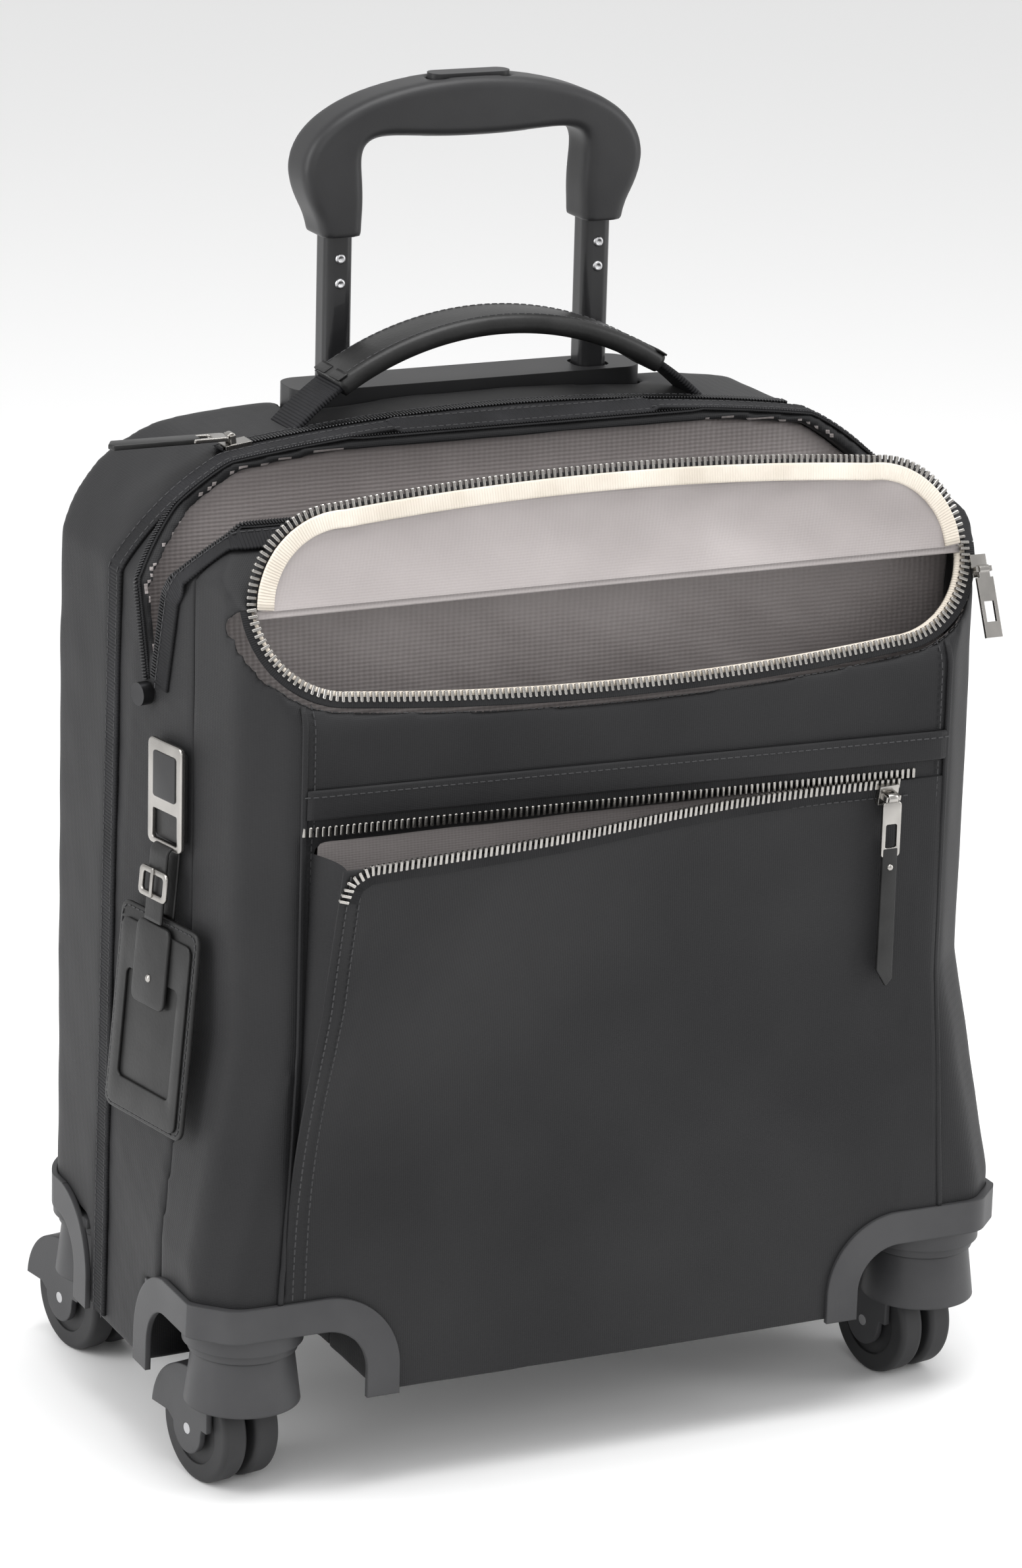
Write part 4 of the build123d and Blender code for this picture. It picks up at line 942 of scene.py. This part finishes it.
def carry_handle():
    """Ribbed webbing over the top, in a stitched leather sleeve."""
    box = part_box("carry_webbing")
    half, y = box[1].x / MM, (box[0].y + box[1].y) / 2 / MM
    foot, crown = HANDLE_FOOT, HANDLE_CROWN
    arch_line = arc_through((-half, foot), (0, crown), (half, foot), 90)
    places = np.array([(x, y, z) for x, z in arch_line])
    centre_z = crown - ((half ** 2 + (crown - foot) ** 2) / (2 * (crown - foot)))
    normals = np.array([(x, 0, z - centre_z) for x, z in arch_line])
    webbing = strip("handle_webbing", places, normals, pillow(25, 3, 0.4), RIBBED)
    settle(webbing, "case", "ribbed_tape", "carry_webbing")
    inside = np.abs(places[:, 0]) <= SLEEVE_HALF
    sleeve = strip("handle_sleeve", places[inside], normals[inside], shifted(pillow(28, 8.8, 0.42), 0, -2.9),
                   LEATHER, 2.0)
    settle(sleeve, "case", "black_leather", "carry_grip")
    for side in (-1, 1):
        word = "front" if side > 0 else "rear"
        stitches(f"handle_stitches_{word}", places[inside], normals[inside], across=10.4 * side, outward=5.7)
        for end in (-1, 1):
            near = inside & (places[:, 0] * end >= SLEEVE_HALF - 6)
            cuff = strip(f"handle_cuff_{word}_{'right' if end > 0 else 'left'}", places[near], normals[near],
                         shifted(pillow(11, 1.0, 0.5), 8.0 * side, 5.5), LEATHER, 1.5)
            settle(cuff, "case", "black_leather")


def pull_handle():
    grip = soften("pull_grip", ["grip_front", "grip_rear"], 1.3, 10, GRIP)
    settle(grip, "inner_stage", "grip_plastic", "grip_front", "grip_rear")
    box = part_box("inner_tubes")
    for side in (-1, 1):
        x = side * (box[1].x / MM - 6.6)
        for z in (487, 498):
            place = Matrix.Translation((x, box[0].y / MM + 0.05, z)) @ Matrix.Rotation(QUARTER, 4, "X")
            profile = [(0, 0.5), (0.9, 0.5), (1.0, 1.0), (1.9, 0.85), (2.4, 0.2), (2.4, -0.3)]
            screw = turned(f"tube_screw_{'left' if side < 0 else 'right'}_{z}", profile, place, STEEL, 20)
            settle(screw, "inner_stage", "steel")


def back_details():
    """Seams of the rear panel and piping at its edge."""
    panel = rounded_rect(300, 300, 34, 10)
    line = [(x, 300, 250 + z) for x, z in panel]
    line.append(line[0])
    path = drop(line, (0, -1, 0), REAR)
    settle(strip("rear_panel_seam", *path, pillow(2.6, 1.4, 0.5), NYLON), "case", "black_nylon")
    stitches("rear_panel_stitches", *path, across=4.0, outward=0.25)


def paint_cad():
    """Finishes of the CAD nodes that keep their shape."""
    looks = {GUARD: [f"corner_guard_{c}" for c in CORNERS] + [f"fork_{c}" for c in CORNERS],
             STEEL: [f"axle_{c}" for c in CORNERS] + ["kingpins", "button_spring", "push_rods", "lock_pins",
                                                      "frame_hoop", "outer_tubes"],
             TREAD: [f"wheel_{s}_{c}" for s in ("left", "right") for c in CORNERS],
             TUBE: ["inner_tubes", "middle_tubes"],
             GRIP: ["handle_bezel", "release_button"],
             FELT: ["base_board"],
             GUNMETAL: ["upper_slider", "upper_pull", "lower_slider", "main_slider"],
             COIL: ["laptop_slider"]}
    for look, names in looks.items():
        for name in names:
            NODES[name].data.materials.clear()
            NODES[name].data.materials.append(look)


compartment_bands()
main_zip()
mouth()
upper_flap()
front_panel()
lower_zip()
pocket_inside()
front_seams()
zip_pulls()
name_tag()
carry_handle()
pull_handle()
back_details()
paint_cad()


# ---- camera, light and floor ----
AZIMUTH, ELEVATION, ROLL = (math.radians(a) for a in (-25.33, 17.17, 1.56))
CAMERA = Vector((-993.1, -2081.1, 987.0))
LENS = 126.5


def camera():
    """The camera at the photograph's viewing angle."""
    back = Vector((math.sin(AZIMUTH) * math.cos(ELEVATION), -math.cos(AZIMUTH) * math.cos(ELEVATION),
                   math.sin(ELEVATION)))
    right = (-back).cross(Vector((0, 0, 1))).normalized()
    up = right.cross(-back)
    right, up = (right * math.cos(ROLL) + up * math.sin(ROLL), up * math.cos(ROLL) - right * math.sin(ROLL))
    data = bpy.data.cameras.new("camera")
    data.sensor_fit = "VERTICAL"
    data.sensor_height = 36
    data.lens = LENS
    data.clip_end = 50
    made = bpy.data.objects.new("camera", data)
    made.matrix_world = Matrix.Translation(CAMERA * MM) @ Matrix((right, up, back)).transposed().to_4x4()
    bpy.context.scene.collection.objects.link(made)
    bpy.context.scene.camera = made


def lamp(name, place, target, size, watts):
    """A soft rectangular lamp that faces a target."""
    data = bpy.data.lights.new(name, "AREA")
    data.shape = "RECTANGLE"
    data.size, data.size_y = size
    data.energy = watts
    made = bpy.data.objects.new(name, data)
    made.location = place
    made.rotation_euler = (Vector(target) - Vector(place)).to_track_quat("-Z", "Y").to_euler()
    bpy.context.scene.collection.objects.link(made)


def studio():
    """A pale floor, a white world and four soft lamps."""
    floor = finish_mesh("floor", [(-9000, -9000, 0), (9000, -9000, 0), (9000, 9000, 0), (-9000, 9000, 0)],
                        [(0, 1, 2, 3)], material("floor", Base_Color=(0.93, 0.93, 0.93, 1), Roughness=0.6))
    world = bpy.data.worlds.new("studio")
    world.use_nodes = True
    world.node_tree.nodes["Background"].inputs["Color"].default_value = (1, 1, 1, 1)
    world.node_tree.nodes["Background"].inputs["Strength"].default_value = 0.78
    bpy.context.scene.world = world
    bpy.context.scene.view_settings.view_transform = "Standard"
    middle = (0, 0, 0.3)
    lamp("left_softbox", (-1.9, 0.1, 1.1), middle, (1.0, 1.8), 26)
    lamp("right_softbox", (1.8, -1.0, 0.9), middle, (0.7, 1.6), 14)
    lamp("top_softbox", (0.1, -0.3, 2.2), middle, (1.6, 1.2), 34)
    lamp("front_softbox", (-0.7, -2.4, 1.5), middle, (1.2, 1.0), 9)


camera()
studio()
